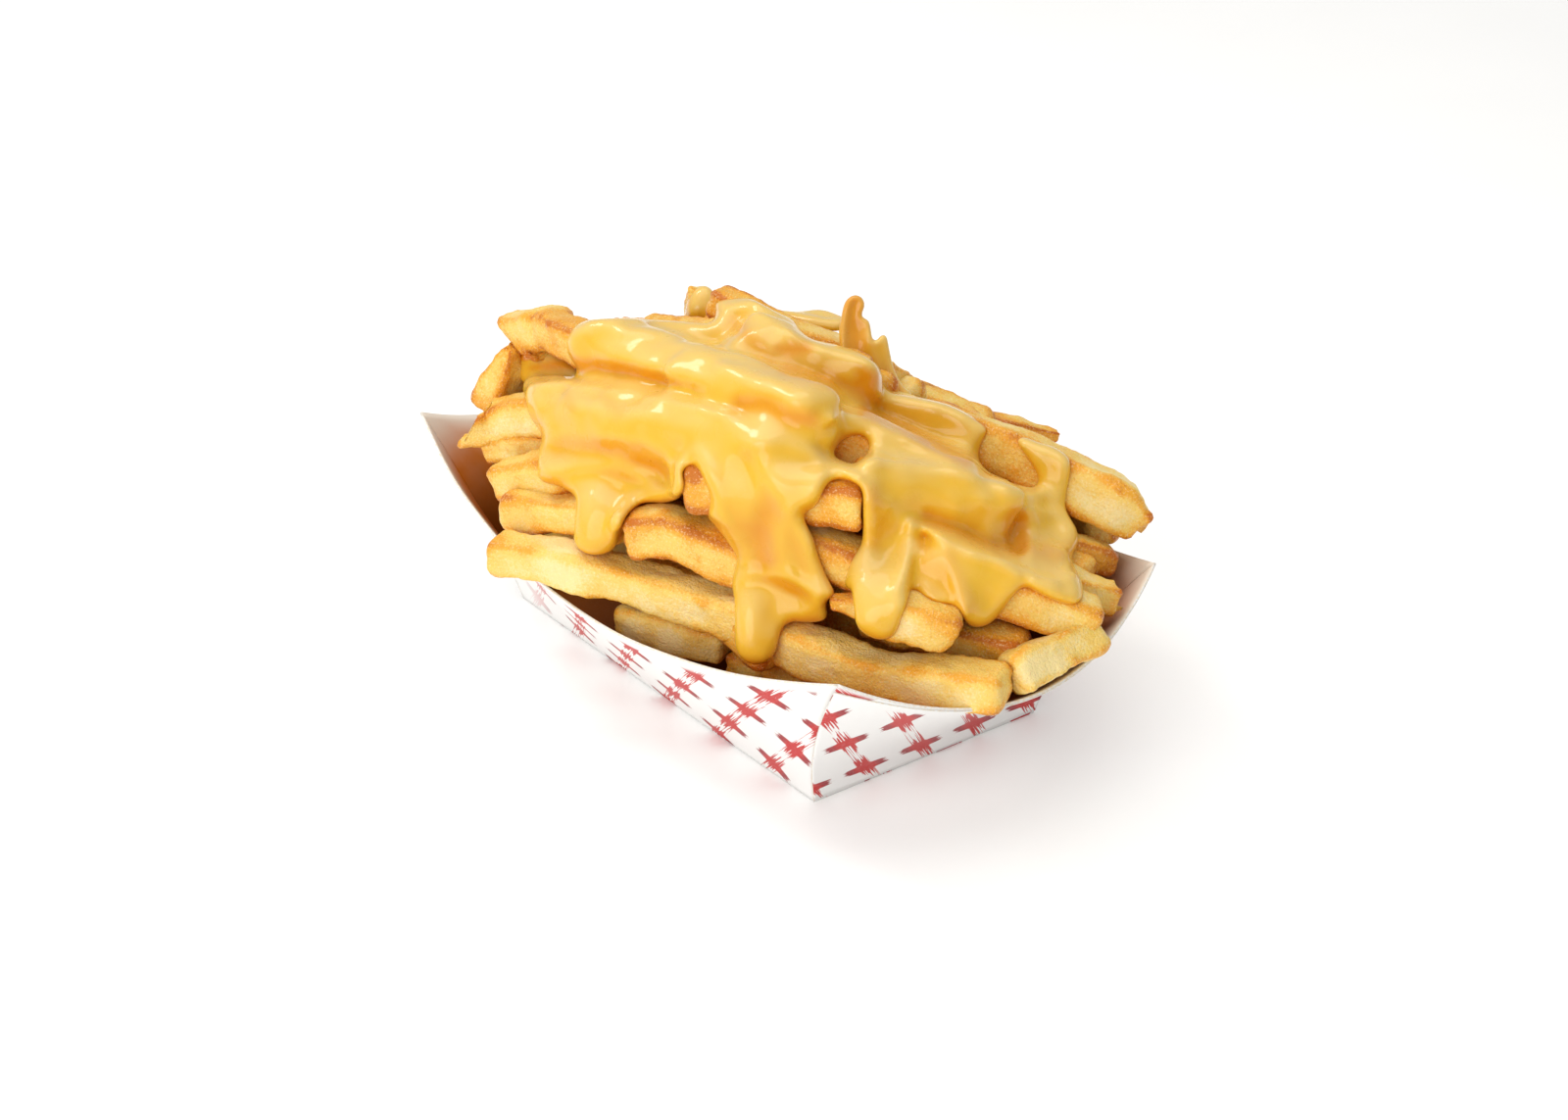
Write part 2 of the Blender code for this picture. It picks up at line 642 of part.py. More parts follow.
def main():
    """Builds the tray, the heap of fries and the sauce."""
    remove_startup_objects()
    parts = new_collection("cheese_fries")
    cutters = new_collection("cutters")
    board = new_material("printed_board", (0.86, 0.83, 0.80), 0.6)
    potato = new_material("fried_potato", (0.80, 0.47, 0.12), 0.55)
    cheese = new_material("cheese_sauce", (0.90, 0.52, 0.06), 0.22)
    fries = {name: lifted(fry) for name, fry in {**SHOWN, **BEHIND, **fill_fries()}.items()}
    make_tray(parts, board)
    make_fries(parts, cutters, fries, potato)
    make_sauce(parts, cutters, fries, cheese)


main()
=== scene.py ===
"""Cheese fries in a folded paper tray, dressed at full detail.

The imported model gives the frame. The fries, the sauce and the tray's board are made here on
the same paths, outlines and wall curves as the solids that they stand for. Lengths are in
millimetres until a mesh is filled. The scene is in metres, +Z up, with +X along the tray.
"""

import logging
import math
from dataclasses import dataclass, field, replace
from enum import Enum
from typing import Callable

import bpy
import numpy as np
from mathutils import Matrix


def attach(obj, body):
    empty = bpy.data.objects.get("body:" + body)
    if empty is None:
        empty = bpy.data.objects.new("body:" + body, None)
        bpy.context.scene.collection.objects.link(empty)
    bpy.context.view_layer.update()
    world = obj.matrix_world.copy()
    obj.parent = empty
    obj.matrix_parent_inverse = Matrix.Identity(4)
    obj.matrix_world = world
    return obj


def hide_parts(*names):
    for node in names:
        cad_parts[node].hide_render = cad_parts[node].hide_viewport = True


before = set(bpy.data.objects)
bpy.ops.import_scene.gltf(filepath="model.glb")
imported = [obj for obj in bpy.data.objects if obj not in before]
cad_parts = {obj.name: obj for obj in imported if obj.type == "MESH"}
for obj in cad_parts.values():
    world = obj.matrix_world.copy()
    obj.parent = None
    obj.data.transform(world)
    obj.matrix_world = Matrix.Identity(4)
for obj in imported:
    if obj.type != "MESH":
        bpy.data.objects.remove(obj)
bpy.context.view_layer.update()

LOG = logging.getLogger("cheese_fries")
Array = np.ndarray
Point = tuple[float, float, float]
Spot = tuple[float, float]
Colour = tuple[float, float, float]
MM = 0.001
BODY = "root"
FAR = 1e9  # farther than anything, in mm
GRAIN = ("Fine", "Middle", "Broad")
WAVES = 20
BENT_SPANS = 9

# Where the tray is seen from, in mm: the outlines of the sauce are drawn in this view
EYE = (496.3, -371.2, 351.5)
AIM = (2.4, 2.3, 25.0)
LENS = 70.0


class Slot(Enum):
    """The record's material slots."""

    BOARD = "printed_board"
    POTATO = "fried_potato"
    CHEESE = "cheese_sauce"


class Drawn(Enum):
    """The view that a sauce outline is drawn in."""

    FROM_EYE = "eye"
    FROM_ABOVE = "above"


@dataclass
class MeshData:
    """A mesh as arrays, in millimetres.

    Attributes:
        points: vertices, one row each.
        quads: four-sided faces, as vertex numbers.
        tris: three-sided faces, as vertex numbers.
        layers: one value a vertex for each named attribute.
        uv: one pair a vertex, or None.
        finish: material number of each face, quads first, or None.
    """

    points: Array
    quads: Array
    tris: Array = field(default_factory=lambda: np.zeros((0, 3), int))
    layers: dict[str, Array] = field(default_factory=dict)
    uv: Array | None = None
    finish: Array | None = None


def joined(meshes: list[MeshData]) -> MeshData:
    """Puts several meshes into one, with their layers and maps kept.

    Args:
        meshes: the meshes, all with the same layers.

    Returns:
        One mesh that holds them side by side.
    """
    starts = np.cumsum([0] + [len(m.points) for m in meshes[:-1]])
    return MeshData(
        np.concatenate([m.points for m in meshes]),
        np.concatenate([m.quads + s for m, s in zip(meshes, starts)]),
        np.concatenate([m.tris + s for m, s in zip(meshes, starts)]),
        {key: np.concatenate([m.layers[key] for m in meshes]) for key in meshes[0].layers},
        np.concatenate([m.uv for m in meshes]) if meshes[0].uv is not None else None,
        np.concatenate([m.finish for m in meshes]) if meshes[0].finish is not None else None)


def placed(name: str, data: bpy.types.ID) -> bpy.types.Object:
    """A new object of the scene that holds a mesh, a light or a camera."""
    made = bpy.data.objects.new(name, data)
    bpy.context.scene.collection.objects.link(made)
    return made


def make_piece(name: str, mesh: MeshData, materials: list[bpy.types.Material],
               node: str) -> None:
    """Turns arrays into a smooth-shaded object that rides on the part and replaces a node.

    Args:
        name: the piece's name.
        mesh: its arrays.
        materials: its materials, in the order that mesh.finish counts them.
        node: the CAD node that it stands for.
    """
    data = bpy.data.meshes.new(name)
    corners = np.concatenate([mesh.quads.ravel(), mesh.tris.ravel()]).astype(np.int32)
    sides = np.concatenate([np.full(len(mesh.quads), 4), np.full(len(mesh.tris), 3)])
    data.vertices.add(len(mesh.points))
    data.vertices.foreach_set("co", (mesh.points * MM).astype(np.float32).ravel())
    data.loops.add(len(corners))
    data.loops.foreach_set("vertex_index", corners)
    data.polygons.add(len(sides))
    data.polygons.foreach_set("loop_start", (np.cumsum(sides) - sides).astype(np.int32))
    if mesh.finish is not None:
        data.polygons.foreach_set("material_index", mesh.finish.astype(np.int32))
    data.update(calc_edges=True)
    data.shade_smooth()
    for key, values in mesh.layers.items():
        layer = data.attributes.new(key, "FLOAT", "POINT")
        layer.data.foreach_set("value", values.astype(np.float32))
    if mesh.uv is not None:
        flat = data.uv_layers.new(name="flat")
        flat.data.foreach_set("uv", mesh.uv[corners].astype(np.float32).ravel())
    for material in materials:
        data.materials.append(material)
    piece = placed(name, data)
    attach(piece, BODY)
    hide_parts(node)
    LOG.info("%s: %d points, %d faces", name, len(mesh.points), len(sides))


def unit(vectors: Array) -> Array:
    """Vectors, one a row, at length one."""
    return vectors / np.maximum(np.linalg.norm(vectors, axis=-1, keepdims=True), 1e-9)


def waves(points: Array, length: float, seed: int) -> Array:
    """Smooth noise: the sum of plane waves of about one length in seeded directions.

    Args:
        points: where it is wanted, in mm, one row each.
        length: middle wavelength in mm.
        seed: picks directions and phases.

    Returns:
        One value a point, with a spread of about one to both sides of zero.
    """
    draw = np.random.default_rng(seed)
    ways = unit(draw.normal(size=(WAVES, 3)))
    pace = 2 * math.pi / length * draw.uniform(0.65, 1.5, WAVES)
    phase = draw.uniform(0, 2 * math.pi, WAVES)
    turns = points.astype(np.float32) @ (ways * pace[:, None]).T.astype(np.float32)
    return np.cos(turns + phase.astype(np.float32)).sum(axis=1) * math.sqrt(2 / WAVES)


def unevenness(points: Array, sizes: tuple[Spot, ...], seed: int) -> Array:
    """A sum of smooth noises, each with its height and length, under seeds that follow on."""
    return sum(height * waves(points, length, seed + i)
               for i, (height, length) in enumerate(sizes))


def eased(share: Array) -> Array:
    """A share held from 0 to 1 that starts and stops softly."""
    share = np.clip(share, 0, 1)
    return share * share * (3 - 2 * share)


def cubic(a: Array, b: Array, c: Array, d: Array, t: Array) -> Array:
    """The Catmull-Rom cubic from b to c at shares t of the way, whose slope at a point is
    half the step between the points beside it."""
    return 0.5 * (2 * b + (c - a) * t + (2 * a - 5 * b + 4 * c - d) * t ** 2
                  + (3 * b - a - 3 * c + d) * t ** 3)


def smooth_path(path: Array, where: Array) -> Array:
    """Points of the smooth curve through a path: a line through two points, and a cubic for
    each span of a longer path.

    Args:
        path: the points that the curve passes, one row each.
        where: places on it, from 0 to 1.

    Returns:
        One point for each place.
    """
    if len(path) == 2:
        return path[0] + (path[1] - path[0]) * where[:, None]
    ends = np.vstack([2 * path[0] - path[1], path, 2 * path[-1] - path[-2]])
    place = np.clip(where, 0, 0.99999) * (len(path) - 1)
    span = place.astype(int)
    return cubic(*(ends[span + i] for i in range(4)), (place - span)[:, None])


def within_box(points: Array, line: Array, size: float) -> Array:
    """Which points lie in the box round a line, grown by a size."""
    return ((points > line.min(0) - size) & (points < line.max(0) + size)).all(axis=1)


def soft_min(a: Array, b: Array, blend: float) -> Array:
    """The smaller of two distances, rounded over a width where they are alike."""
    near = np.maximum(blend - np.abs(a - b), 0) / blend
    return np.minimum(a, b) - near * near * blend / 4


def soft_max(a: Array, b: Array, blend: float) -> Array:
    """The larger of two distances, rounded over a width where they are alike."""
    return -soft_min(-a, -b, blend)


def rounded_loop(points: tuple[Spot, ...], per_span: int = 4) -> Array:
    """A closed smooth outline through points, as a fine polygon.

    Args:
        points: the outline's own points, in order.
        per_span: number of short sides between two of them.

    Returns:
        The polygon's corners, one row each.
    """
    path = np.array(points)
    ends = np.vstack([path[-1:], path, path[:2]])
    t = (np.arange(per_span) / per_span)[None, :, None]
    return cubic(*(ends[i:i + len(path), None, :] for i in range(4)), t).reshape(-1, 2)


def line_distance(spots: Array, corners: Array, closed: bool) -> Array:
    """Distance from spots to a polygon's sides, negative inside it if it is closed.

    Args:
        spots: places in the drawing, one row each.
        corners: the polygon's corners in order.
        closed: whether the last corner joins the first.

    Returns:
        One distance a spot.
    """
    ahead = np.roll(corners, -1, axis=0) if closed else corners[1:]
    start = corners if closed else corners[:-1]
    best = np.full(len(spots), FAR)
    inside = np.zeros(len(spots), bool)
    for a, b in zip(start, ahead):
        side = b - a
        rel = spots - a
        t = np.clip((rel @ side) / max(side @ side, 1e-9), 0, 1)
        best = np.minimum(best, ((rel - t[:, None] * side) ** 2).sum(axis=1))
        crosses = (spots[:, 1] < a[1]) != (spots[:, 1] < b[1])
        if closed and crosses.any():
            reach = a[0] + (spots[:, 1] - a[1]) * side[0] / (side[1] if side[1] else 1e-9)
            inside ^= crosses & (spots[:, 0] < reach)
    best = np.sqrt(best)
    return np.where(inside, -best, best) if closed else best


@dataclass(frozen=True)
class Fry:
    """One stick of potato, in mm.

    Attributes:
        path: points on its middle line.
        width: cut size across.
        height: cut size up.
        roll: turn about its line, in degrees.
        tips: share of its full section that is left at each end.
        run: length over which a tip narrows, in heights.
        cut: how far its first end is cut aslant, or None where it is cut nearly square.
    """

    path: tuple[Point, ...]
    width: float = 9.5
    height: float = 9.5
    roll: float = 0.0
    tips: tuple[float, float] = (1.0, 1.0)
    run: float = 1.6
    cut: float | None = None

    def line(self) -> Array:
        """The path as an array."""
        return np.array(self.path, float)

    def length(self) -> float:
        """Straight distance from tip to tip."""
        return float(np.linalg.norm(self.line()[-1] - self.line()[0]))

    def frames(self, where: Array) -> tuple[Array, Array, Array]:
        """Middle, sideways and upward directions of the section at some places.

        The sideways direction is level and square to the path, and both turn about the
        path by the roll.

        Args:
            where: places along the stick, from 0 to 1.

        Returns:
            Middles, sideways and upward unit vectors, one row a place.
        """
        line = self.line()
        step = 0.02
        along = unit(smooth_path(line, np.minimum(where + step, 1))
                     - smooth_path(line, np.maximum(where - step, 0)))
        side = unit(np.cross([0.0, 0.0, 1.0], along))
        up = np.cross(along, side)
        roll = math.radians(self.roll)
        turned = side * math.cos(roll) + up * math.sin(roll)
        return smooth_path(line, where), turned, np.cross(along, turned)

    def taper(self, where: Array) -> Array:
        """Share of its full section that the stick has at some places."""
        run = self.run * self.height / self.length()
        near = np.clip(where / run, 0, 1)
        far = np.clip((1 - where) / run, 0, 1)
        return ((self.tips[0] + (1 - self.tips[0]) * near)
                * (self.tips[1] + (1 - self.tips[1]) * far))

    def distance(self, points: Array, rounding: float) -> Array:
        """Distance from points to the stick, as a rounded box along each stretch of it.

        Args:
            points: places in mm, one row each.
            rounding: radius of the box's edges.

        Returns:
            One distance a point, negative inside.
        """
        straight = len(self.path) == 2 and self.tips == (1.0, 1.0)
        spans = 1 if straight else BENT_SPANS
        trim = min(rounding / self.length(), 0.2)
        where = np.linspace(trim, 1 - trim, spans + 1)
        joints = smooth_path(self.line(), where)
        middle, side, up = self.frames((where[1:] + where[:-1]) / 2)
        scale = self.taper(where)
        best = np.full(len(points), FAR, np.float32)
        for i in range(spans):
            reach = joints[i + 1] - joints[i]
            span = np.linalg.norm(reach)
            along = reach / span
            rel = points - joints[i]
            x = rel @ along
            t = np.clip(x / span, 0, 1)
            size = scale[i] + (scale[i + 1] - scale[i]) * t
            bow = (joints[i] + joints[i + 1]) / 2 - middle[i]
            y = np.abs(rel @ side[i] + bow @ side[i] * 0.5) - (self.width / 2 * size - rounding)
            z = np.abs(rel @ up[i] + bow @ up[i] * 0.5) - (self.height / 2 * size - rounding)
            beyond = np.abs(x - t * span)
            out = np.sqrt(beyond ** 2 + np.maximum(y, 0) ** 2 + np.maximum(z, 0) ** 2)
            best = np.minimum(best, out + np.minimum(np.maximum(y, z), 0) - rounding)
        return best


# Fries that show from the serving side
SHOWN = {
    "front_long": Fry(((-20, -61, 38), (1.5, -48.5, 38), (34, -35, 36.6),
                       (63, -25.5, 33.8), (92.3, -8.6, 36.2))),
    "right_front": Fry(((89.4, -4.5, 36.5), (89.2, 19.2, 38.9)), 9, 9, -32, (1, 0.95)),
    "right_mid": Fry(((67.5, -11, 56), (89, 19, 41)), 9, 10),
    "right_low_a": Fry(((70.5, 13.5, 47), (82, 32, 39.5)), 9, 9.5, 0, (1, 0.8)),
    "right_low_b": Fry(((61.5, 21, 49), (70, 41, 41)), 8, 8, 0, (1, 0.7)),
    "wedge": Fry(((21, 13, 66), (44.5, 30, 60.5), (64, 41.5, 54.5), (72, 47, 48)),
                 11.5, 12, -20, (1, 0.62), 1.1),
    "far_tip": Fry(((9.5, 42, 51.5), (24.5, 65.5, 46.8)), 7, 7, 0, (1, 0.35), 1.5),
    "back_long": Fry(((-28.5, 20, 68), (19.5, 48, 51)), 8, 8),
    "top_a": Fry(((-22.5, 1.5, 82), (-2.5, 6, 78), (7, 18, 71)), 9, 9.5, 0, (0.7, 1)),
    "top_b": Fry(((4, -10, 82), (26, 8.5, 77)), 9, 9.5),
    "back_stub": Fry(((-36.5, 7, 76), (-49.5, 14, 58)), 5, 8),
    "left_point": Fry(((-55, -28.5, 68.8), (-45.5, -28.5, 74), (-27.5, -30, 77), (38, -19.5, 80)),
                      cut=-0.75),
    "left_yellow": Fry(((-58.5, -27.5, 60), (-22, -18, 66)), 8, 7),
    "left_brown": Fry(((-53.3, -34, 68.4), (-58.8, -35.5, 52.4)), 11, 9, 0, (0.4, 1)),
    "left_main": Fry(((-53.5, -45.3, 51), (-40.5, -38, 57), (-1.5, -37.5, 69), (41.5, -27, 76)),
                     cut=0.9),
    "left_lower": Fry(((-35.5, -50, 46), (13, -31.5, 65)), 9, 9.5),
    "left_under": Fry(((-52, -42, 46), (-17, -32.5, 58)), 8, 7),
    "left_small": Fry(((-27, -51.5, 43), (4.5, -42, 50)), 9, 9),
    "mid_brown": Fry(((10, -45, 50), (18, -38.5, 51), (34, -32, 49), (49, -23, 46)), 9.5, 10),
    "across": Fry(((24.5, -39, 66), (57.9, -18.2, 68)), 10.5, 10.5),
    "under_across": Fry(((43, -28.5, 58), (59.5, -17, 52))),
    "small_tip": Fry(((57.5, -27.5, 48), (71, -14, 46)), 5.5, 5, 0, (0.6, 1)),
    "blunt_end": Fry(((69, -22.5, 49.5), (80.5, -12.5, 46)), 10.5, 11, 0, (0.8, 0.75), 1.0),
    "mid_right": Fry(((50.5, -16.5, 70), (65.5, 14, 61))),
    "mid_back": Fry(((37.5, -12.5, 74), (57, 13, 60.5))),
    "low_front": Fry(((4.5, -44, 26.5), (28.5, -32, 26)), 8.5, 8.5),
    "low_tip": Fry(((27.5, -31.5, 22), (36, -27.5, 20)), 7, 7),
    "low_b": Fry(((38, -29.5, 26), (64, -12, 18.5)), 9, 9),
    "ridge": Fry(((7.5, -28, 80), (43.5, -20, 83)), 9, 9),
    "glimpse": Fry(((54, 20.5, 58), (66.5, 19.5, 42)), 9, 9),
    "far_mid": Fry(((-48, -7.5, 69.5), (-20, -10, 71)), 7, 7, 0, (0.4, 1)),
    "top_back": Fry(((-31, -13, 74), (-8, -2, 78)), 8, 8),
}

# Fries on the far side and at the left end
BEHIND = {
    "far_rim": Fry(((-72, 28, 40), (-40, 44, 39), (-6, 51, 38))),
    "far_rest": Fry(((-22, 58, 40), (20, 52, 42), (52, 46, 42)), roll=10),
    "far_right": Fry(((28, 57, 43.5), (64, 44, 45.5)), 9, 9),
    "far_high": Fry(((-44, 26, 59), (14, 32, 59.5)), 9, 9.5, 12),
    "far_lean": Fry(((-2, 56, 44), (6, 22, 68)), 9, 9, 5),
    "far_cross": Fry(((-58, 46, 44), (-34, 8, 62)), roll=8),
    "far_shoulder": Fry(((12, 44, 52), (52, 36, 52)), 9, 9),
    "left_far_a": Fry(((-80, -4, 38), (-40, 22, 52)), roll=15),
    "left_far_b": Fry(((-82, 16, 40), (-38, 2, 50)), 9, 9.5),
    "left_far_c": Fry(((-70, -22, 46), (-28, 4, 64)), 9, 9),
    "left_rest": Fry(((-76, -30, 40), (-44, -8, 48)), 9, 9, 0, (0.7, 1)),
    "top_under": Fry(((-30, 8, 70), (24, 14, 70)), 9, 9.5),
    "far_short": Fry(((-26, 44, 48), (0, 40, 54)), 9, 9, 20),
    "right_under": Fry(((38, 8, 46), (75, 30, 42)), 9, 9),
    "left_support": Fry(((-58, -34, 40), (-6, -30, 48)), 9, 9),
    "right_deep": Fry(((52, -14, 38), (84, 4, 36)), 9, 9),
}

# How far a fry is fried where it differs from the others, from pale 0 to dark 1; right_deep is
# held dark as painted shade
FRIED = {
    "mid_brown": 0.62, "left_brown": 0.5, "right_low_b": 0.66, "left_point": 0.46,
    "left_under": 0.6, "left_lower": 0.5, "under_across": 0.62, "across": 0.66,
    "top_a": 0.5, "back_long": 0.32, "far_tip": 0.8, "glimpse": 0.75, "small_tip": 0.45,
    "front_long": 0.22, "left_small": 0.34, "blunt_end": 0.2, "right_front": 0.14,
    "right_mid": 0.4, "low_front": 0.12, "low_b": 0.26, "low_tip": 0.5, "wedge": 0.42,
    "left_main": 0.4, "left_yellow": 0.42, "back_stub": 0.3, "right_low_a": 0.36,
    # painted shade: right_deep is a dark fry put in a dark gap under the fries in front
    "right_deep": 0.7,
}
FRIED_OTHERWISE = 0.42


@dataclass(frozen=True)
class CrustFinish:
    """Fried potato: pale faces, golden to brown where the crust is thicker and where painted
    shade raises the crust value.

    Colour steps are the crust values between which a colour gives way to the next darker
    one. Sways are how far fine, middle and broad grain and the fibre move the crust value.
    """

    pale: Colour = (0.91, 0.72, 0.32)
    golden: Colour = (0.88, 0.59, 0.13)
    amber: Colour = (0.82, 0.38, 0.028)
    brown: Colour = (0.56, 0.16, 0.007)
    fleck: Colour = (1.0, 0.84, 0.50)
    steps: tuple[Spot, ...] = ((0.10, 0.42), (0.40, 0.70), (0.70, 1.05))
    sways: tuple[float, ...] = (0.44, 0.16, 0.16, 0.20)
    fibre: Point = (0.07, 1.6, 1.0)
    grain_mm: float = 0.58
    fleck_mm: float = 0.42
    fleck_share: float = 0.40
    relief_mm: float = 0.36
    roughness: float = 0.42
    specular: float = 0.32
    glow: float = 0.12
    glow_mm: float = 1.6


@dataclass(frozen=True)
class SauceFinish:
    """Melted cheese sauce: opaque and yellow where thick, amber where thin. Ridge is painted
    light, pale on up-facing sauce; the amber is also painted shade in hollows, on steep and
    downward faces and at veils.
    """

    # ridge: painted light, a paler colour laid on sauce that faces up
    ridge: Colour = (0.80, 0.53, 0.13)
    thick: Colour = (0.78, 0.45, 0.030)
    # thin: amber of thin sauce, also laid as painted shade in hollows, on steep and downward
    # faces and at veils
    thin_and_shade: Colour = (0.70, 0.25, 0.001)
    grains: float = 420.0
    relief_mm: float = 0.45
    roughness: float = 0.28
    specular: float = 0.18
    coat: float = 0.55
    coat_roughness: float = 0.09
    glow: float = 0.15
    glow_mm: float = 1.8


@dataclass(frozen=True)
class BoardFinish:
    """Paper board, with a dry-brushed red check on its outside."""

    white: Colour = (0.84, 0.835, 0.82)
    inside: Colour = (0.80, 0.72, 0.62)
    # grease and soaked: browner and darker low on the inside, partly grease and partly painted
    # shade and warm bounce light from the fries
    grease_and_shade: Colour = (0.60, 0.165, 0.004)
    soaked_and_shade: Colour = (0.28, 0.075, 0.003)
    edge: Colour = (0.80, 0.70, 0.55)
    red: Colour = (0.52, 0.022, 0.020)
    crimson: Colour = (0.28, 0.020, 0.028)
    grains: float = 1500.0
    relief_mm: float = 0.08
    roughness: float = 0.5
    specular: float = 0.3
    specular_inside: float = 0.12


class Nodes:
    """Adds shader nodes to a tree in plain calls."""

    def __init__(self, tree: bpy.types.NodeTree) -> None:
        """Works on one node tree."""
        self.tree = tree

    def add(self, kind: str, **values: object) -> bpy.types.Node:
        """Adds a node and sets its properties."""
        node = self.tree.nodes.new(kind)
        for key, value in values.items():
            setattr(node, key, value)
        return node

    def put(self, socket: bpy.types.NodeSocket, value: object) -> None:
        """Links a socket to another one, or sets its own value."""
        if isinstance(value, bpy.types.NodeSocket):
            self.tree.links.new(value, socket)
        else:
            socket.default_value = value

    def math(self, operation: str, a: object, b: object = 0.0, c: object = 0.0
             ) -> bpy.types.NodeSocket:
        """A Math node's result."""
        node = self.add("ShaderNodeMath", operation=operation)
        for socket, value in zip(node.inputs, (a, b, c)):
            self.put(socket, value)
        return node.outputs[0]

    def ramp(self, value: object, low: float, high: float, to_low: float = 0.0,
             to_high: float = 1.0) -> bpy.types.NodeSocket:
        """A value moved smoothly from one range to another, held at its ends."""
        node = self.add("ShaderNodeMapRange", interpolation_type="SMOOTHSTEP")
        for socket, part in zip(node.inputs, (value, low, high, to_low, to_high)):
            self.put(socket, part)
        return node.outputs[0]

    def mix(self, share: object, a: object, b: object) -> bpy.types.NodeSocket:
        """One colour laid over another by a share."""
        node = self.add("ShaderNodeMix", data_type="RGBA")
        self.put(node.inputs["Factor"], share)
        self.put(node.inputs[6], (*a, 1.0) if isinstance(a, tuple) else a)
        self.put(node.inputs[7], (*b, 1.0) if isinstance(b, tuple) else b)
        return node.outputs[2]

    def noise(self, vector: object, scale: object, detail: float = 2.0,
              roughness: float = 0.55) -> bpy.types.NodeSocket:
        """A Noise Texture's value."""
        node = self.add("ShaderNodeTexNoise")
        for key, value in (("Vector", vector), ("Scale", scale), ("Detail", detail),
                           ("Roughness", roughness)):
            self.put(node.inputs[key], value)
        return node.outputs["Fac"]

    def sway(self, value: object, share: float, onto: object) -> bpy.types.NodeSocket:
        """A value's way from one half, times a share, added onto another value."""
        return self.math("MULTIPLY_ADD", self.math("SUBTRACT", value, 0.5), share, onto)

    def place(self) -> bpy.types.NodeSocket:
        """Object coordinates."""
        return self.add("ShaderNodeTexCoord").outputs["Object"]

    def layer(self, name: str) -> bpy.types.NodeSocket:
        """A named attribute's value."""
        return self.add("ShaderNodeAttribute", attribute_name=name).outputs["Fac"]

    def stretched(self, vector: object, scale: Point) -> bpy.types.NodeSocket:
        """A vector scaled by its own amount along each axis."""
        node = self.add("ShaderNodeVectorMath", operation="MULTIPLY")
        self.put(node.inputs[0], vector)
        node.inputs[1].default_value = scale
        return node.outputs[0]

    def bump(self, height: object, strength: float, reach_mm: float) -> bpy.types.NodeSocket:
        """A Bump node's normal."""
        node = self.add("ShaderNodeBump")
        node.inputs["Strength"].default_value = strength
        node.inputs["Distance"].default_value = reach_mm * MM
        self.put(node.inputs["Height"], height)
        return node.outputs["Normal"]

    def group(self, tree: bpy.types.NodeTree, **values: object) -> bpy.types.Node:
        """A node group, with its inputs set or linked by name."""
        node = self.add("ShaderNodeGroup", node_tree=tree)
        for key, value in values.items():
            self.put(node.inputs[key], value)
        return node


def new_group(name: str, inputs: dict[str, float | None], outputs: tuple[str, ...]
              ) -> tuple[Nodes, bpy.types.Node, bpy.types.Node]:
    """Starts a shader node group with named sockets.

    Args:
        name: the group's name.
        inputs: default of each number input, with None for a vector.
        outputs: names of its number outputs.

    Returns:
        The node helper, the group's input node and its output node.
    """
    tree = bpy.data.node_groups.new(name, "ShaderNodeTree")
    for key, value in inputs.items():
        kind = "NodeSocketVector" if value is None else "NodeSocketFloat"
        socket = tree.interface.new_socket(name=key, in_out="INPUT", socket_type=kind)
        if value is not None:
            socket.default_value = value
    for key in outputs:
        tree.interface.new_socket(name=key, in_out="OUTPUT", socket_type="NodeSocketFloat")
    nodes = Nodes(tree)
    return nodes, nodes.add("NodeGroupInput"), nodes.add("NodeGroupOutput")


def grain_group() -> bpy.types.NodeTree:
    """Uneven grain in three sizes, for crust, sauce, board and floor.

    Returns:
        A group that takes a vector and a scale in grains a metre, and gives a fine, a
        middle and a broad value from 0 to 1.
    """
    nodes, ins, outs = new_group("uneven_grain", {"Vector": None, "Scale": 1000.0}, GRAIN)
    for key, share in zip(GRAIN, (1.0, 0.32, 0.09)):
        scale = nodes.math("MULTIPLY", ins.outputs["Scale"], share)
        nodes.put(outs.inputs[key], nodes.noise(ins.outputs["Vector"], scale, 3.0, 0.5))
    return nodes.tree


def new_material(name: str) -> tuple[bpy.types.Material, Nodes, bpy.types.Node]:
    """Starts a material.

    Args:
        name: the material's name.

    Returns:
        The material, the node helper and its Principled BSDF node.
    """
    made = bpy.data.materials.new(name)
    made.use_nodes = True
    return made, Nodes(made.node_tree), made.node_tree.nodes["Principled BSDF"]


def hold(shader: bpy.types.Node, values: dict[str, object]) -> None:
    """Sets constants on a shader's own sockets."""
    for key, value in values.items():
        shader.inputs[key].default_value = value


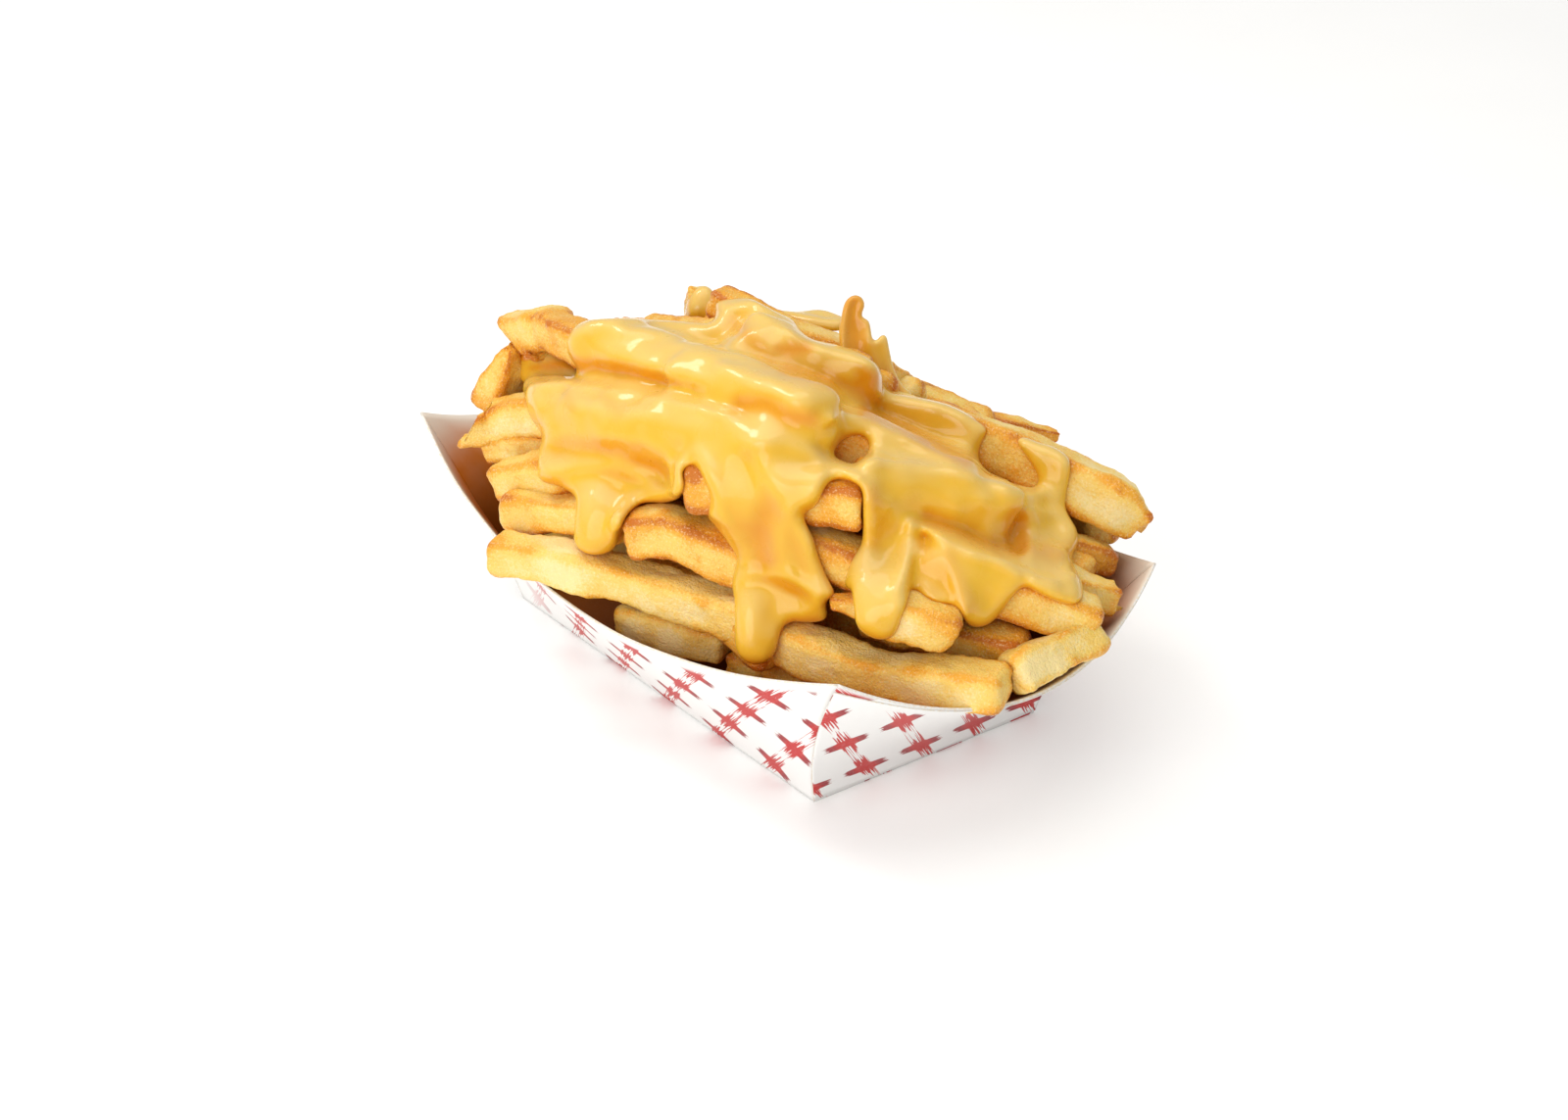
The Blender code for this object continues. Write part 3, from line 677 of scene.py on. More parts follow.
def crust_material(finish: CrustFinish, grain: bpy.types.NodeTree) -> bpy.types.Material:
    """Fried potato, coloured by the crust attribute of each fry, which also holds painted shade:
    on undersides, on the core and on a fry held dark in a gap.

    Args:
        finish: its colours and relief.
        grain: the uneven grain group.

    Returns:
        The material.
    """
    made, nodes, shader = new_material("fried_crust")
    mottle = nodes.group(grain, Vector=nodes.place(), Scale=1.0 / (finish.grain_mm * MM))
    fine, middle, broad = (mottle.outputs[key] for key in GRAIN)
    along = nodes.add("ShaderNodeUVMap", uv_map="flat").outputs["UV"]
    fibre = nodes.noise(nodes.stretched(along, finish.fibre), 1.0)
    crust_and_shade = nodes.layer("crust_and_shade")
    for value, share in zip((fine, middle, broad, fibre), finish.sways):
        crust_and_shade = nodes.sway(value, share, crust_and_shade)
    colour = finish.pale
    for (low, high), darker in zip(finish.steps, (finish.golden, finish.amber, finish.brown)):
        colour = nodes.mix(nodes.ramp(crust_and_shade, low, high), colour, darker)
    flecks = nodes.noise(nodes.place(), 1.0 / (finish.fleck_mm * MM))
    colour = nodes.mix(nodes.ramp(flecks, 0.54, 0.70, 0.0, finish.fleck_share), colour,
                       finish.fleck)
    nodes.put(shader.inputs["Base Color"], colour)
    rough = nodes.ramp(fine, 0.3, 0.75, finish.roughness - 0.10, finish.roughness + 0.12)
    nodes.put(shader.inputs["Roughness"], rough)
    relief = nodes.math("MULTIPLY_ADD", middle, 1.4, fine)
    relief = nodes.math("MULTIPLY_ADD", flecks, 0.6, relief)
    nodes.put(shader.inputs["Normal"], nodes.bump(relief, 0.8, finish.relief_mm))
    hold(shader, {"Specular IOR Level": finish.specular, "Subsurface Weight": finish.glow,
                  "Subsurface Radius": (1.0, 0.45, 0.12),
                  "Subsurface Scale": finish.glow_mm * MM})
    return made


def sauce_material(finish: SauceFinish, grain: bpy.types.NodeTree) -> bpy.types.Material:
    """Cheese sauce: painted light makes it pale where it faces up, painted shade makes it amber
    in hollows and on steep and downward faces, and it is amber where it is thin and at veils.

    Args:
        finish: its colours and gloss.
        grain: the uneven grain group.

    Returns:
        The material.
    """
    made, nodes, shader = new_material("cheese_gloss")
    mottle = nodes.group(grain, Vector=nodes.place(), Scale=finish.grains)
    fine, middle, broad = (mottle.outputs[key] for key in GRAIN)
    # Painted light and shade: up-facing sauce is laid pale, and hollows and steep and downward
    # faces amber
    depth = nodes.math("MULTIPLY_ADD", nodes.layer("hollow"), -0.55, nodes.layer("level"))
    colour = nodes.mix(nodes.ramp(depth, 0.25, 1.0), finish.thick, finish.ridge)
    colour = nodes.mix(nodes.ramp(depth, 0.25, -0.6, 0.0, 0.85), colour, finish.thin_and_shade)
    # Veils: amber laid as painted shade in valleys and under overhangs, and as thin sauce at
    # small spots
    thin_and_shade_veil = nodes.math("MULTIPLY", nodes.layer("thin_and_shade_veil"), nodes.ramp(broad, 0.3, 0.6, 0.75, 1.0))
    colour = nodes.mix(nodes.math("MULTIPLY", thin_and_shade_veil, 0.9), colour, finish.thin_and_shade)
    cover = nodes.sway(fine, 0.35, nodes.layer("cover"))
    colour = nodes.mix(nodes.ramp(cover, 0.0, 0.8), finish.thin_and_shade, colour)
    nodes.put(shader.inputs["Base Color"], colour)
    rough = nodes.ramp(middle, 0.3, 0.7, finish.roughness - 0.05, finish.roughness + 0.07)
    nodes.put(shader.inputs["Roughness"], rough)
    nodes.put(shader.inputs["Normal"], nodes.bump(middle, 0.3, finish.relief_mm))
    hold(shader, {"Subsurface Weight": finish.glow, "Subsurface Radius": (1.0, 0.5, 0.1),
                  "Subsurface Scale": finish.glow_mm * MM,
                  "Specular IOR Level": finish.specular, "Coat Weight": finish.coat,
                  "Coat Roughness": finish.coat_roughness})
    return made


@dataclass(frozen=True)
class Check:
    """The printed check on the flat blank: crosses on a lattice turned by 45 degrees.

    A cross has a solid core, two comb arms along one diagonal and two narrowing arms along
    the other. Sizes are in mm. A streak or a speck of dry brush is noise, stretched by its
    own amount along both diagonals, and ends where it falls below a share that grows from
    the first to the second value of comb_end or arm_end.
    """

    along: float = 16.25
    along_start: float = 8.9
    beside: float = 13.25
    beside_start: float = 6.6
    core: float = 1.85
    comb_width: float = 1.6
    comb_reach: float = 8.1
    comb_end: Spot = (0.38, 0.60)
    streak: Point = (0.10, 2.9, 1.0)
    arm_width: float = 1.6
    arm_tip: float = 1.15
    arm_reach: float = 6.4
    arm_end: Spot = (0.15, 0.74)
    speck: Point = (2.8, 0.30, 1.0)
    soft: float = 0.16

    def mask(self, nodes: Nodes, uv: bpy.types.NodeSocket) -> tuple[bpy.types.NodeSocket, ...]:
        """Builds the print's masks from the blank's own map, which is in mm.

        Along one diagonal and beside it, the place in the lattice is the remainder after
        whole steps. A comb arm is a band of streaks that end at uneven places, a solid arm
        narrows and breaks up towards its end.

        Args:
            nodes: helper of the material's tree.
            uv: the blank's map.

        Returns:
            The share of red, and of it the share of crimson.
        """
        split = nodes.add("ShaderNodeSeparateXYZ")
        nodes.put(split.inputs[0], uv)
        flat = nodes.add("ShaderNodeCombineXYZ")
        away = []
        for i, (sign, step, start) in enumerate((("SUBTRACT", self.along, self.along_start),
                                                 ("ADD", self.beside, self.beside_start))):
            way = nodes.math(sign, split.outputs[0], split.outputs[1])
            way = nodes.math("MULTIPLY", way, math.sqrt(0.5))
            nodes.put(flat.inputs[i], way)
            away.append(nodes.math("ABSOLUTE", self.from_lattice(nodes, way, step, start)))
        away_p, away_q = away
        core = self.within(nodes, nodes.math("MAXIMUM", away_p, away_q), self.core)
        streak = nodes.noise(nodes.stretched(flat.outputs[0], self.streak), 1.0, 1.0)
        end = nodes.ramp(away_p, self.core * 0.6, self.comb_reach, *self.comb_end)
        comb = nodes.ramp(nodes.math("SUBTRACT", streak, end), -0.02, 0.03)
        comb = nodes.math("MULTIPLY", comb, self.within(nodes, away_q, self.comb_width))
        speck = nodes.noise(nodes.stretched(flat.outputs[0], self.speck), 1.0)
        width = nodes.ramp(away_q, 2.0, self.arm_reach, self.arm_width, self.arm_tip)
        arm = nodes.ramp(nodes.math("SUBTRACT", away_p, width), -self.soft, self.soft, 1.0, 0.0)
        end = nodes.ramp(away_q, 2.6, self.arm_reach, *self.arm_end)
        worn = nodes.ramp(nodes.math("SUBTRACT", speck, end), -0.05, 0.06)
        arm = nodes.math("MULTIPLY", arm, worn)
        red = nodes.math("MAXIMUM", core, nodes.math("MAXIMUM", comb, arm))
        return red, nodes.ramp(away_q, 1.6, 3.6, 0.0, 0.85)

    def from_lattice(self, nodes: Nodes, value: object, step: float, start: float
                     ) -> bpy.types.NodeSocket:
        """Signed distance to the nearest line of a row of lines."""
        turns = nodes.math("DIVIDE", nodes.math("SUBTRACT", value, start), step)
        whole = nodes.math("ROUND", turns)
        return nodes.math("MULTIPLY", nodes.math("SUBTRACT", turns, whole), step)

    def within(self, nodes: Nodes, value: object, reach: float) -> bpy.types.NodeSocket:
        """One inside a reach and nothing outside it, with a soft edge."""
        return nodes.ramp(value, reach - self.soft, reach + self.soft, 1.0, 0.0)


def board_materials(finish: BoardFinish, check: Check, grain: bpy.types.NodeTree
                    ) -> list[bpy.types.Material]:
    """The board's printed outside, its inside, browned low down by grease and by painted shade
    and bounce light, and its cut edge.

    Args:
        finish: its colours.
        check: the print.
        grain: the uneven grain group.

    Returns:
        Three materials in that order.
    """
    made = []
    for name in ("board_outside", "board_inside", "board_edge"):
        material, nodes, shader = new_material(name)
        mottle = nodes.group(grain, Vector=nodes.place(), Scale=finish.grains)
        fine, broad = mottle.outputs["Fine"], mottle.outputs["Broad"]
        if name == "board_outside":
            uv = nodes.add("ShaderNodeUVMap", uv_map="flat").outputs["UV"]
            red, deep = check.mask(nodes, nodes.stretched(uv, (1 / MM, 1 / MM, 1.0)))
            red = nodes.math("MULTIPLY", red, nodes.layer("printed"))
            ink = nodes.mix(deep, finish.red, finish.crimson)
            ink = nodes.mix(nodes.ramp(fine, 0.35, 0.8, 0.0, 0.10), ink, finish.white)
            colour = nodes.mix(red, finish.white, ink)
        elif name == "board_inside":
            # Inside: browner low down (grease with painted shade and bounce light), darkest
            # lowest down (painted shade under the fries, with grease)
            share = nodes.math("MULTIPLY", nodes.layer("grease_and_shade"),
                               nodes.ramp(broad, 0.3, 0.7, 0.9, 1.0))
            colour = nodes.mix(share, finish.inside, finish.grease_and_shade)
            colour = nodes.mix(nodes.layer("soak_and_shade"), colour, finish.soaked_and_shade)
        else:
            colour = nodes.mix(nodes.ramp(fine, 0.3, 0.7), finish.edge, finish.white)
        nodes.put(shader.inputs["Base Color"], colour)
        nodes.put(shader.inputs["Roughness"],
                  nodes.ramp(fine, 0.3, 0.7, finish.roughness - 0.05, finish.roughness + 0.08))
        nodes.put(shader.inputs["Normal"], nodes.bump(fine, 0.12, finish.relief_mm))
        hold(shader, {"Specular IOR Level": finish.specular_inside if name == "board_inside"
                      else finish.specular})
        made.append(material)
    return made


@dataclass
class FryHeap:
    """All the fries: each a stick with soft cut edges, uneven faces and a browned crust.

    A row of the inside has its height, its number of fries, its half length, and where its
    first and last one lie across the tray. Uneven and crust_ values are the heights in mm
    and shares that the surface and its crust value are summed from.
    """

    edge_round: float = 1.9
    corner_power: float = 4.6
    around: int = 44
    row_step: float = 1.1
    deep_around: int = 24
    deep_step: float = 3.0
    girth: float = 36.0
    slant: float = 0.12
    slant_reach: float = 3.0
    cut_reach: float = 16.0
    swell: float = 0.03
    uneven: tuple[Spot, ...] = ((0.30, 24), (0.15, 9), (0.06, 3.6), (0.03, 1.7))
    most_in: float = -1.2
    most_out: float = 0.9
    crust_base: float = 0.15
    crust_fried: float = 0.60
    crust_edge: float = 0.42
    crust_rim: float = 0.17
    deep_fried: float = 0.55
    seed: int = 11
    rows: tuple[tuple[float, int, float, float, float], ...] = (
        (24.0, 4, 46.0, -30.0, 30.0),
        (34.0, 6, 50.0, -33.0, 36.0),
        (46.0, 6, 44.0, -31.0, 30.0),
        (58.0, 5, 34.0, -24.0, 22.0),
        (68.0, 3, 22.0, -18.0, 10.0),
    )
    core_centre: Point = (0.0, 4.0, 34.0)
    core_radii: Point = (56.5, 25.0, 27.0)
    fill_length: Spot = (48.0, 74.0)
    fill_turn: float = 24.0

    def fill(self) -> dict[str, Fry]:
        """Fries of the inside, row on row, turned and tilted by a seeded rule.

        Returns:
            The fries by name.
        """
        draw = np.random.default_rng(self.seed)
        made = {}
        for row, (height, count, half_length, near, far) in enumerate(self.rows):
            for place in range(count):
                y = near + (far - near) * place / (count - 1)
                x = draw.uniform(-0.35, 0.35) * half_length
                turn = math.radians(8 + draw.uniform(-self.fill_turn, self.fill_turn))
                half = min(draw.uniform(*self.fill_length) / 2, half_length)
                dx, dy = half * math.cos(turn), half * math.sin(turn) * 0.6
                dz = draw.uniform(-2.5, 2.5)
                path = ((x - dx, y - dy, height - dz), (x + dx, y + dy, height + dz))
                made[f"fill_{row}_{place}"] = Fry(path, 8.5, 9.0, draw.uniform(-25, 25))
        return made

    def section(self, count: int) -> tuple[Array, Array, Array]:
        """The cut section of a fry: a square with soft corners, at even steps round it.

        The curve is |x|^n + |y|^n = 1. It is walked in fine steps and read off at equal
        distances.

        Args:
            count: number of points round it.

        Returns:
            The points, how near each is to a corner from 0 to 1, and its way round from
            0 to 1.
        """
        angle = np.linspace(0, 2 * math.pi, 4001)
        power = 2 / self.corner_power
        x = np.sign(np.cos(angle)) * np.abs(np.cos(angle)) ** power
        y = np.sign(np.sin(angle)) * np.abs(np.sin(angle)) ** power
        walked = np.concatenate([[0], np.cumsum(np.hypot(np.diff(x), np.diff(y)))])
        stops = np.arange(count) / count * walked[-1]
        points = np.stack([np.interp(stops, walked, x), np.interp(stops, walked, y)], axis=1)
        edge = np.abs(points).min(axis=1) ** 2.2
        return points, edge / edge.max(), stops / walked[-1]

    def rows_along(self, fry: Fry, step: float) -> tuple[Array, Array, Array]:
        """Rows of a fry from end to end: rings on each end face, a rounded rim, the shaft.

        Args:
            fry: the fry.
            step: distance between rows of the shaft.

        Returns:
            For each row its distance from the first end in mm, how far its section draws
            in from the full one in mm, and its share of the end face's reach.
        """
        length = fry.length()
        sizes = fry.taper(np.array([0.0, 1.0])) * min(fry.width, fry.height) / 2
        arc = np.linspace(0, math.pi / 2, 5)
        parts = []
        for size in sizes:
            radius = min(self.edge_round, 0.55 * size)
            rings = np.array([0.12, 0.38, 0.62, 0.84])
            along = np.concatenate([np.zeros(4), radius * (1 - np.cos(arc))])
            inset = np.concatenate([np.full(4, radius), radius * (1 - np.sin(arc))])
            parts.append((along, inset, np.concatenate([rings, np.ones(5)])))
        start, end = parts
        shaft = np.linspace(start[0][-1], length - end[0][-1], max(4, round(length / step)))
        shaft = shaft[1:-1]
        along = np.concatenate([start[0], shaft, length - end[0][::-1]])
        inset = np.concatenate([start[1], np.zeros(len(shaft)), end[1][::-1]])
        ring = np.concatenate([start[2], np.ones(len(shaft)), end[2][::-1]])
        return along, inset, ring

    def cut(self, fry: Fry, draw: np.random.Generator, section: Array, rows: tuple[Array, ...]
            ) -> tuple[Array, Array]:
        """A fry's smooth surface, before its unevenness.

        A row is the section scaled to the fry's size there, less the draw-in of its rounded
        rim, and swells a little in a slow wave. Near an end, points slide along the fry by
        their place in the section times the slant.

        Args:
            fry: the fry.
            draw: gives its slant and swell.
            section: points of its section.
            rows: what rows_along gives.

        Returns:
            The points and the way out of the fry at each, row by row.
        """
        along, inset, ring = rows
        length = fry.length()
        where = np.clip(along / length, 0, 1)
        middle, side, up = fry.frames(where)
        lean, reach = draw.uniform(-self.slant, self.slant, 2), self.slant_reach
        if fry.cut is not None:
            lean, reach = np.array([0.0, fry.cut]), self.cut_reach
        scale = fry.taper(where)
        swell = 1 + self.swell * np.sin(where * draw.uniform(4, 9) + draw.uniform(0, 6))
        half_w = (fry.width / 2 * scale * swell - inset) * ring
        half_h = (fry.height / 2 * scale * (2 - swell) - inset) * ring
        out_w = section[None, :, 0] * half_w[:, None]
        out_h = section[None, :, 1] * half_h[:, None]
        near_end = np.clip(1 - np.minimum(along, length - along) / reach, 0, 1)
        if fry.cut is not None:
            near_end = near_end * (along < length / 2)
        slide = (out_w * lean[0] + out_h * lean[1]) * near_end[:, None] * 1.6
        way = unit(fry.line()[-1] - fry.line()[0])
        out = side[:, None] * out_w[..., None] + up[:, None] * out_h[..., None]
        points = (middle[:, None] + side[:, None] * out_w[..., None]
                  + up[:, None] * out_h[..., None] + way * slide[..., None])
        across = np.roll(points, -1, axis=1) - np.roll(points, 1, axis=1)
        normal = unit(np.cross(across, np.gradient(points, axis=0)).reshape(-1, 3))
        inward = (normal * (out.reshape(-1, 3) + 1e-6)).sum(1, keepdims=True) < 0
        normal = np.where(inward, -normal, normal)
        ends = np.where(where < 0.5, -1.0, 1.0)[:, None, None] * way
        capped = np.where((ring < 1)[:, None, None], ends, normal.reshape(points.shape))
        return points.reshape(-1, 3), capped.reshape(-1, 3)

    def mesh(self, fry: Fry, number: int, fried: float, deep: bool) -> MeshData:
        """One fry as a closed grid, rows along it and points round each row.

        Every point of the cut surface moves out or in by smooth noise in four sizes, by
        blisters where one noise is high, and by a slight hollow of each face. The crust
        value is the fry's own, more at edges and ends, and a little more on the undersides,
        which is painted shade.

        Args:
            fry: the fry.
            number: seeds its unevenness.
            fried: how far it is fried, from 0 to 1.
            deep: whether it lies deep in the heap, where a coarse grid does.

        Returns:
            The mesh, with its crust layer, which holds painted shade too, and a map in mm along
            and round it.
        """
        draw = np.random.default_rng(1000 + number)
        seed = 50 * number
        count = self.deep_around if deep else self.around
        section, edge, round_it = self.section(count)
        rows = self.rows_along(fry, self.deep_step if deep else self.row_step)
        along, _, ring = rows
        grid, normal = self.cut(fry, draw, section, rows)
        edges = (edge[None, :] * ring[:, None]).ravel()
        blister = np.maximum(waves(grid, 5.0, seed + 4) - 1.5, 0)
        hollow = draw.uniform(-0.1, 0.25) * (1 - edges)
        move = (unevenness(grid, self.uneven, seed) + 0.25 * blister - hollow
                + 0.10 * edges * waves(grid, 2.8, seed + 5))
        grid = grid + normal * np.clip(move, self.most_in, self.most_out)[:, None]
        near_end = np.clip(1 - np.minimum(along, fry.length() - along) / 5.0, 0, 1)
        rim = np.repeat(near_end * (0.35 + 0.65 * ring), count)
        # Painted shade: the crust value is raised a little on the undersides.
        underside_shade = np.clip(-normal[:, 2], 0, 1)
        crust_and_shade = (self.crust_base + self.crust_fried * fried
                 + self.crust_edge * edges ** 1.6 * (0.5 + 0.9 * fried) + self.crust_rim * rim
                 + 0.11 * waves(grid, 26, seed + 6) * (0.5 + fried) + 0.10 * underside_shade
                 + 0.07 * waves(grid, 9, seed + 7) + 0.18 * blister)
        uv = np.stack([np.repeat(along, count), np.tile(round_it * self.girth, len(along))],
                      axis=1)
        return self.closed(grid, len(along), count, {"crust_and_shade": crust_and_shade}, uv)

    def closed(self, grid: Array, rows: int, count: int, layers: dict[str, Array],
               uv: Array) -> MeshData:
        """Joins rows of points into a skin and closes both ends on a middle point.

        Args:
            grid: points, row by row.
            rows: number of rows.
            count: points in a row.
            layers: attribute values of the points.
            uv: map of the points.

        Returns:
            The closed mesh.
        """
        here = np.arange(rows * count).reshape(rows, count)
        beside = np.roll(here, -1, axis=1)
        quads = np.stack([here[:-1], beside[:-1], beside[1:], here[1:]], axis=2).reshape(-1, 4)
        first, last = rows * count, rows * count + 1
        fans = [np.stack([beside[0], here[0], np.full(count, first)], axis=1),
                np.stack([here[-1], beside[-1], np.full(count, last)], axis=1)]
        tips = [here[0], here[-1]]
        points = np.vstack([grid] + [grid[t].mean(0, keepdims=True) for t in tips])
        layers = {k: np.append(v, [v[t].mean() for t in tips]) for k, v in layers.items()}
        uv = np.vstack([uv] + [uv[t].mean(0, keepdims=True) for t in tips])
        return facing_out(MeshData(points, quads, np.vstack(fans), layers, uv))

    def core(self) -> MeshData:
        """The mass that fills the middle of the heap, where nothing shows but darkness.

        Returns:
            A closed lumpy ball, flattened below.
        """
        rows, count = 40, 64
        polar = np.linspace(0, math.pi, rows + 2)[1:-1]
        turn = np.arange(count) / count * 2 * math.pi
        ball = np.stack([np.sin(polar)[:, None] * np.cos(turn),
                         np.sin(polar)[:, None] * np.sin(turn),
                         np.cos(polar)[:, None] * np.ones(count)], axis=2).reshape(-1, 3)
        points = np.array(self.core_centre) + ball * self.core_radii
        points = points + ball * 1.2 * waves(points, 12, 900)[:, None]
        # Painted shade: a dark crust value, so that the core reads as the shade deep in the heap.
        crust_and_shade = 0.75 + 0.1 * waves(points, 9, 901)
        return self.closed(points, rows, count, {"crust_and_shade": crust_and_shade}, points[:, :2])

    def build(self, material: bpy.types.Material) -> None:
        """Makes the fries in five pieces.

        Args:
            material: the crust.
        """
        make_piece("fries_core", self.core(), [material], "fries")
        shown, behind = ([self.mesh(fry, first + i, FRIED.get(name, FRIED_OTHERWISE), False)
                          for i, (name, fry) in enumerate(fries.items())]
                         for first, fries in ((0, SHOWN), (40, BEHIND)))
        inside = [self.mesh(fry, 60 + i, self.deep_fried, True)
                  for i, fry in enumerate(self.fill().values())]
        half = len(shown) // 2
        for name, meshes in (("fries_left_and_front", shown[:half]),
                             ("fries_right_and_top", shown[half:]),
                             ("fries_far_side", behind), ("fries_inside", inside)):
            make_piece(name, joined(meshes), [material], "fries")


def facing_out(mesh: MeshData) -> MeshData:
    """Turns a closed mesh so that its faces point outwards.

    The volume inside is the sum over faces of corner dot the cross of the next two.

    Args:
        mesh: a closed mesh.

    Returns:
        The same mesh with outward faces.
    """
    p = mesh.points
    faces = [mesh.quads[:, [0, 1, 2]], mesh.quads[:, [0, 2, 3]], mesh.tris]
    volume = sum(np.einsum("ij,ij->", p[f[:, 0]], np.cross(p[f[:, 1]], p[f[:, 2]]))
                 for f in faces)
    if volume < 0:
        return replace(mesh, quads=mesh.quads[:, ::-1], tris=mesh.tris[:, ::-1])
    return mesh


@dataclass(frozen=True)
class Strand:
    """A strand, drip or bead of sauce: points on its middle line and a radius at each."""

    path: tuple[Point, ...]
    radii: tuple[float, ...]

    def distance(self, points: Array) -> Array:
        """Distance from points to the strand, which swells and narrows with its radii."""
        steps = 4 * (len(self.path) - 1)
        where = np.linspace(0, 1, steps + 1)
        line = smooth_path(np.array(self.path, float), where)
        radius = np.interp(where, np.linspace(0, 1, len(self.radii)), self.radii)
        best = np.full(len(points), FAR, np.float32)
        for a, b, ra, rb in zip(line[:-1], line[1:], radius[:-1], radius[1:]):
            reach = b - a
            t = np.clip(((points - a) @ reach) / max(reach @ reach, 1e-9), 0, 1)
            gap = np.linalg.norm(points - a - t[:, None] * reach, axis=1)
            best = np.minimum(best, gap - (ra + (rb - ra) * t))
        return best


@dataclass(frozen=True)
class Fold:
    """A change in a pour's height, drawn in the pour's view.

    An open line is a rounded ridge, or a groove where its height is negative. A closed
    line is a flat with soft sides.
    """

    line: tuple[Spot, ...]
    width: float
    height: float
    closed: bool = False

    def lift(self, spots: Array) -> Array:
        """How far the fold raises the sauce at some spots, in mm."""
        if self.closed:
            away = line_distance(spots, rounded_loop(self.line), True)
            return self.height * eased(0.5 - away / (2 * self.width))
        line = smooth_path(np.array(self.line), np.linspace(0, 1, 6 * len(self.line)))
        return self.height * np.exp(-(line_distance(spots, line, False) / self.width) ** 2)


@dataclass(frozen=True)
class Pour:
    """One pour: the fries that it coats, its outlines, strands, folds and veils.

    Outlines, folds and veils are in mm right of and above AIM as seen from EYE, or in x and
    y where the pour is drawn from above. Outlines are united. A fold changes the height, a
    veil is a place where the sauce is laid amber, as thin sauce in some places and as painted
    shade in valleys, grooves and under overhangs in others, and an ease is a place where the
    sheet bridges from fry to fry without following them. A pour that stands free has a point
    of its plane.
    """

    over: tuple[str, ...]
    outlines: tuple[tuple[Spot, ...], ...]
    strands: tuple[Strand, ...] = ()
    folds: tuple[Fold, ...] = ()
    thin_and_shade_veils: tuple[Fold, ...] = ()
    eases: tuple[Fold, ...] = ()
    coat: float = 1.9
    sheet: float = 3.5
    calm: float = 1.15
    rim: float = 2.6
    stands_at: Point | None = None
    drawn: Drawn = Drawn.FROM_EYE


LEFT_SHEET = (
    (-60.2, 40.2), (-58.6, 42.1), (-55, 42.5), (-50, 42.3), (-45, 41.7), (-40, 40.9),
    (-35, 40.2), (-30, 39.2), (-25, 37.9), (-20, 36.8), (-15, 35.6), (-11, 33.5), (-8, 30),
    (-10, 26.5), (-14, 25.6), (-19.5, 23.2), (-21.6, 21.6), (-23.2, 20.2), (-22.8, 18.8),
    (-22.6, 17.4), (-23, 15.4), (-24.6, 13.6), (-27.5, 13.1), (-31, 13.2), (-33.5, 12.4),
    (-36, 10), (-37.5, 7), (-38.4, 4.2), (-39.6, 2.6), (-42, 1.9), (-45, 2.2), (-47.2, 3.2),
    (-48.2, 5), (-47.8, 8), (-47.4, 12), (-48, 14.6), (-49.8, 16), (-52, 17), (-55, 17.7),
    (-56.4, 18.8), (-56.7, 21), (-56.6, 24), (-56, 26.5), (-55.6, 28.3), (-56.5, 30.3),
    (-58.2, 32.5), (-59.2, 36))
LONG_FLOW = (
    (-46, 54.9), (-42, 55.4), (-36, 55.6), (-30, 55.2), (-24, 54.6), (-19, 53.5), (-14, 51),
    (-9, 48), (-4, 45), (2, 42), (6, 38), (8, 33.5), (9.4, 30.2), (9.6, 28), (8.6, 26.4),
    (10, 24.2), (13, 23), (16.3, 21.5), (18.6, 19.8), (19.3, 17.8), (18.9, 16), (17.5, 17),
    (14.5, 18.2), (11.5, 18.3), (9.7, 17), (8.6, 14.6), (7.5, 12.4), (6, 11.4), (4.7, 11),
    (4.5, 9.7), (5.3, 8), (6.8, 5), (8, 1), (9.5, -3), (11, -6), (12, -7.9), (10.3, -8.9),
    (9.4, -10.3), (10.2, -12.2), (9.8, -13.8), (8, -14.3), (5, -14.4), (2.5, -14.1),
    (0.4, -14.7), (-0.9, -16.2), (-1.6, -18), (-2.1, -20.4), (-3.3, -22.4), (-5.4, -23.4),
    (-7.6, -23), (-9.3, -21.5), (-10, -19), (-10.3, -15), (-10.9, -10), (-11.8, -7),
    (-11.5, -3.5), (-11, -1), (-10.6, 0.4), (-11.7, 2.2), (-13.7, 5), (-16, 8), (-17.8, 10),
    (-16.9, 13), (-17.4, 16), (-18.6, 18.6), (-19.6, 20.8), (-21.4, 23.4), (-24, 28), (-30, 34),
    (-38, 38), (-46.5, 41.8), (-48, 44.5), (-49.8, 47.5), (-50, 50.2), (-48.5, 53.2))
RIGHT_SHEET = (
    (4.5, 34), (9, 33.8), (16, 34.5), (22, 33.5), (28, 30.5), (34, 26.5), (40, 22.8),
    (45, 20.6), (49, 19.3), (52, 17.8), (53.4, 15.5), (53.3, 13), (52.4, 10.8), (50.8, 9),
    (49.8, 7.8), (49.7, 4.5), (50.3, 2.2), (52, 0.8), (54, -1.4), (55, -4), (54.3, -6.3),
    (52, -9.2), (49.8, -12.3), (47.2, -14.8), (44.2, -15.6), (42, -14.9), (40.4, -12),
    (38.9, -8.5), (37.5, -4.5), (35.8, -0.5), (34, 4), (32.2, 6.2), (31.2, 4.5), (30.5, 1),
    (30, -3), (29.3, -6), (28.6, -8), (28.3, -10.3), (27.3, -12.6), (26.5, -15.3),
    (25.3, -17.3), (23.2, -18.5), (21, -18), (19.6, -16.2), (19.1, -13), (18.6, -10.5),
    (17.3, -8), (15.6, -6.6), (14, -6.7), (13.8, -5), (15, -2), (16.6, 1), (17.6, 3.2),
    (18, 5.3), (18, 8.5), (18.1, 12), (18, 15.5), (17.8, 18.5), (17.2, 21), (16.6, 22.4),
    (18.6, 23.8), (19.5, 26), (18.8, 28), (16.5, 28.6), (13.5, 27.5), (11.5, 25),
    (10.3, 24.3), (8.6, 25.5), (6, 29.5))
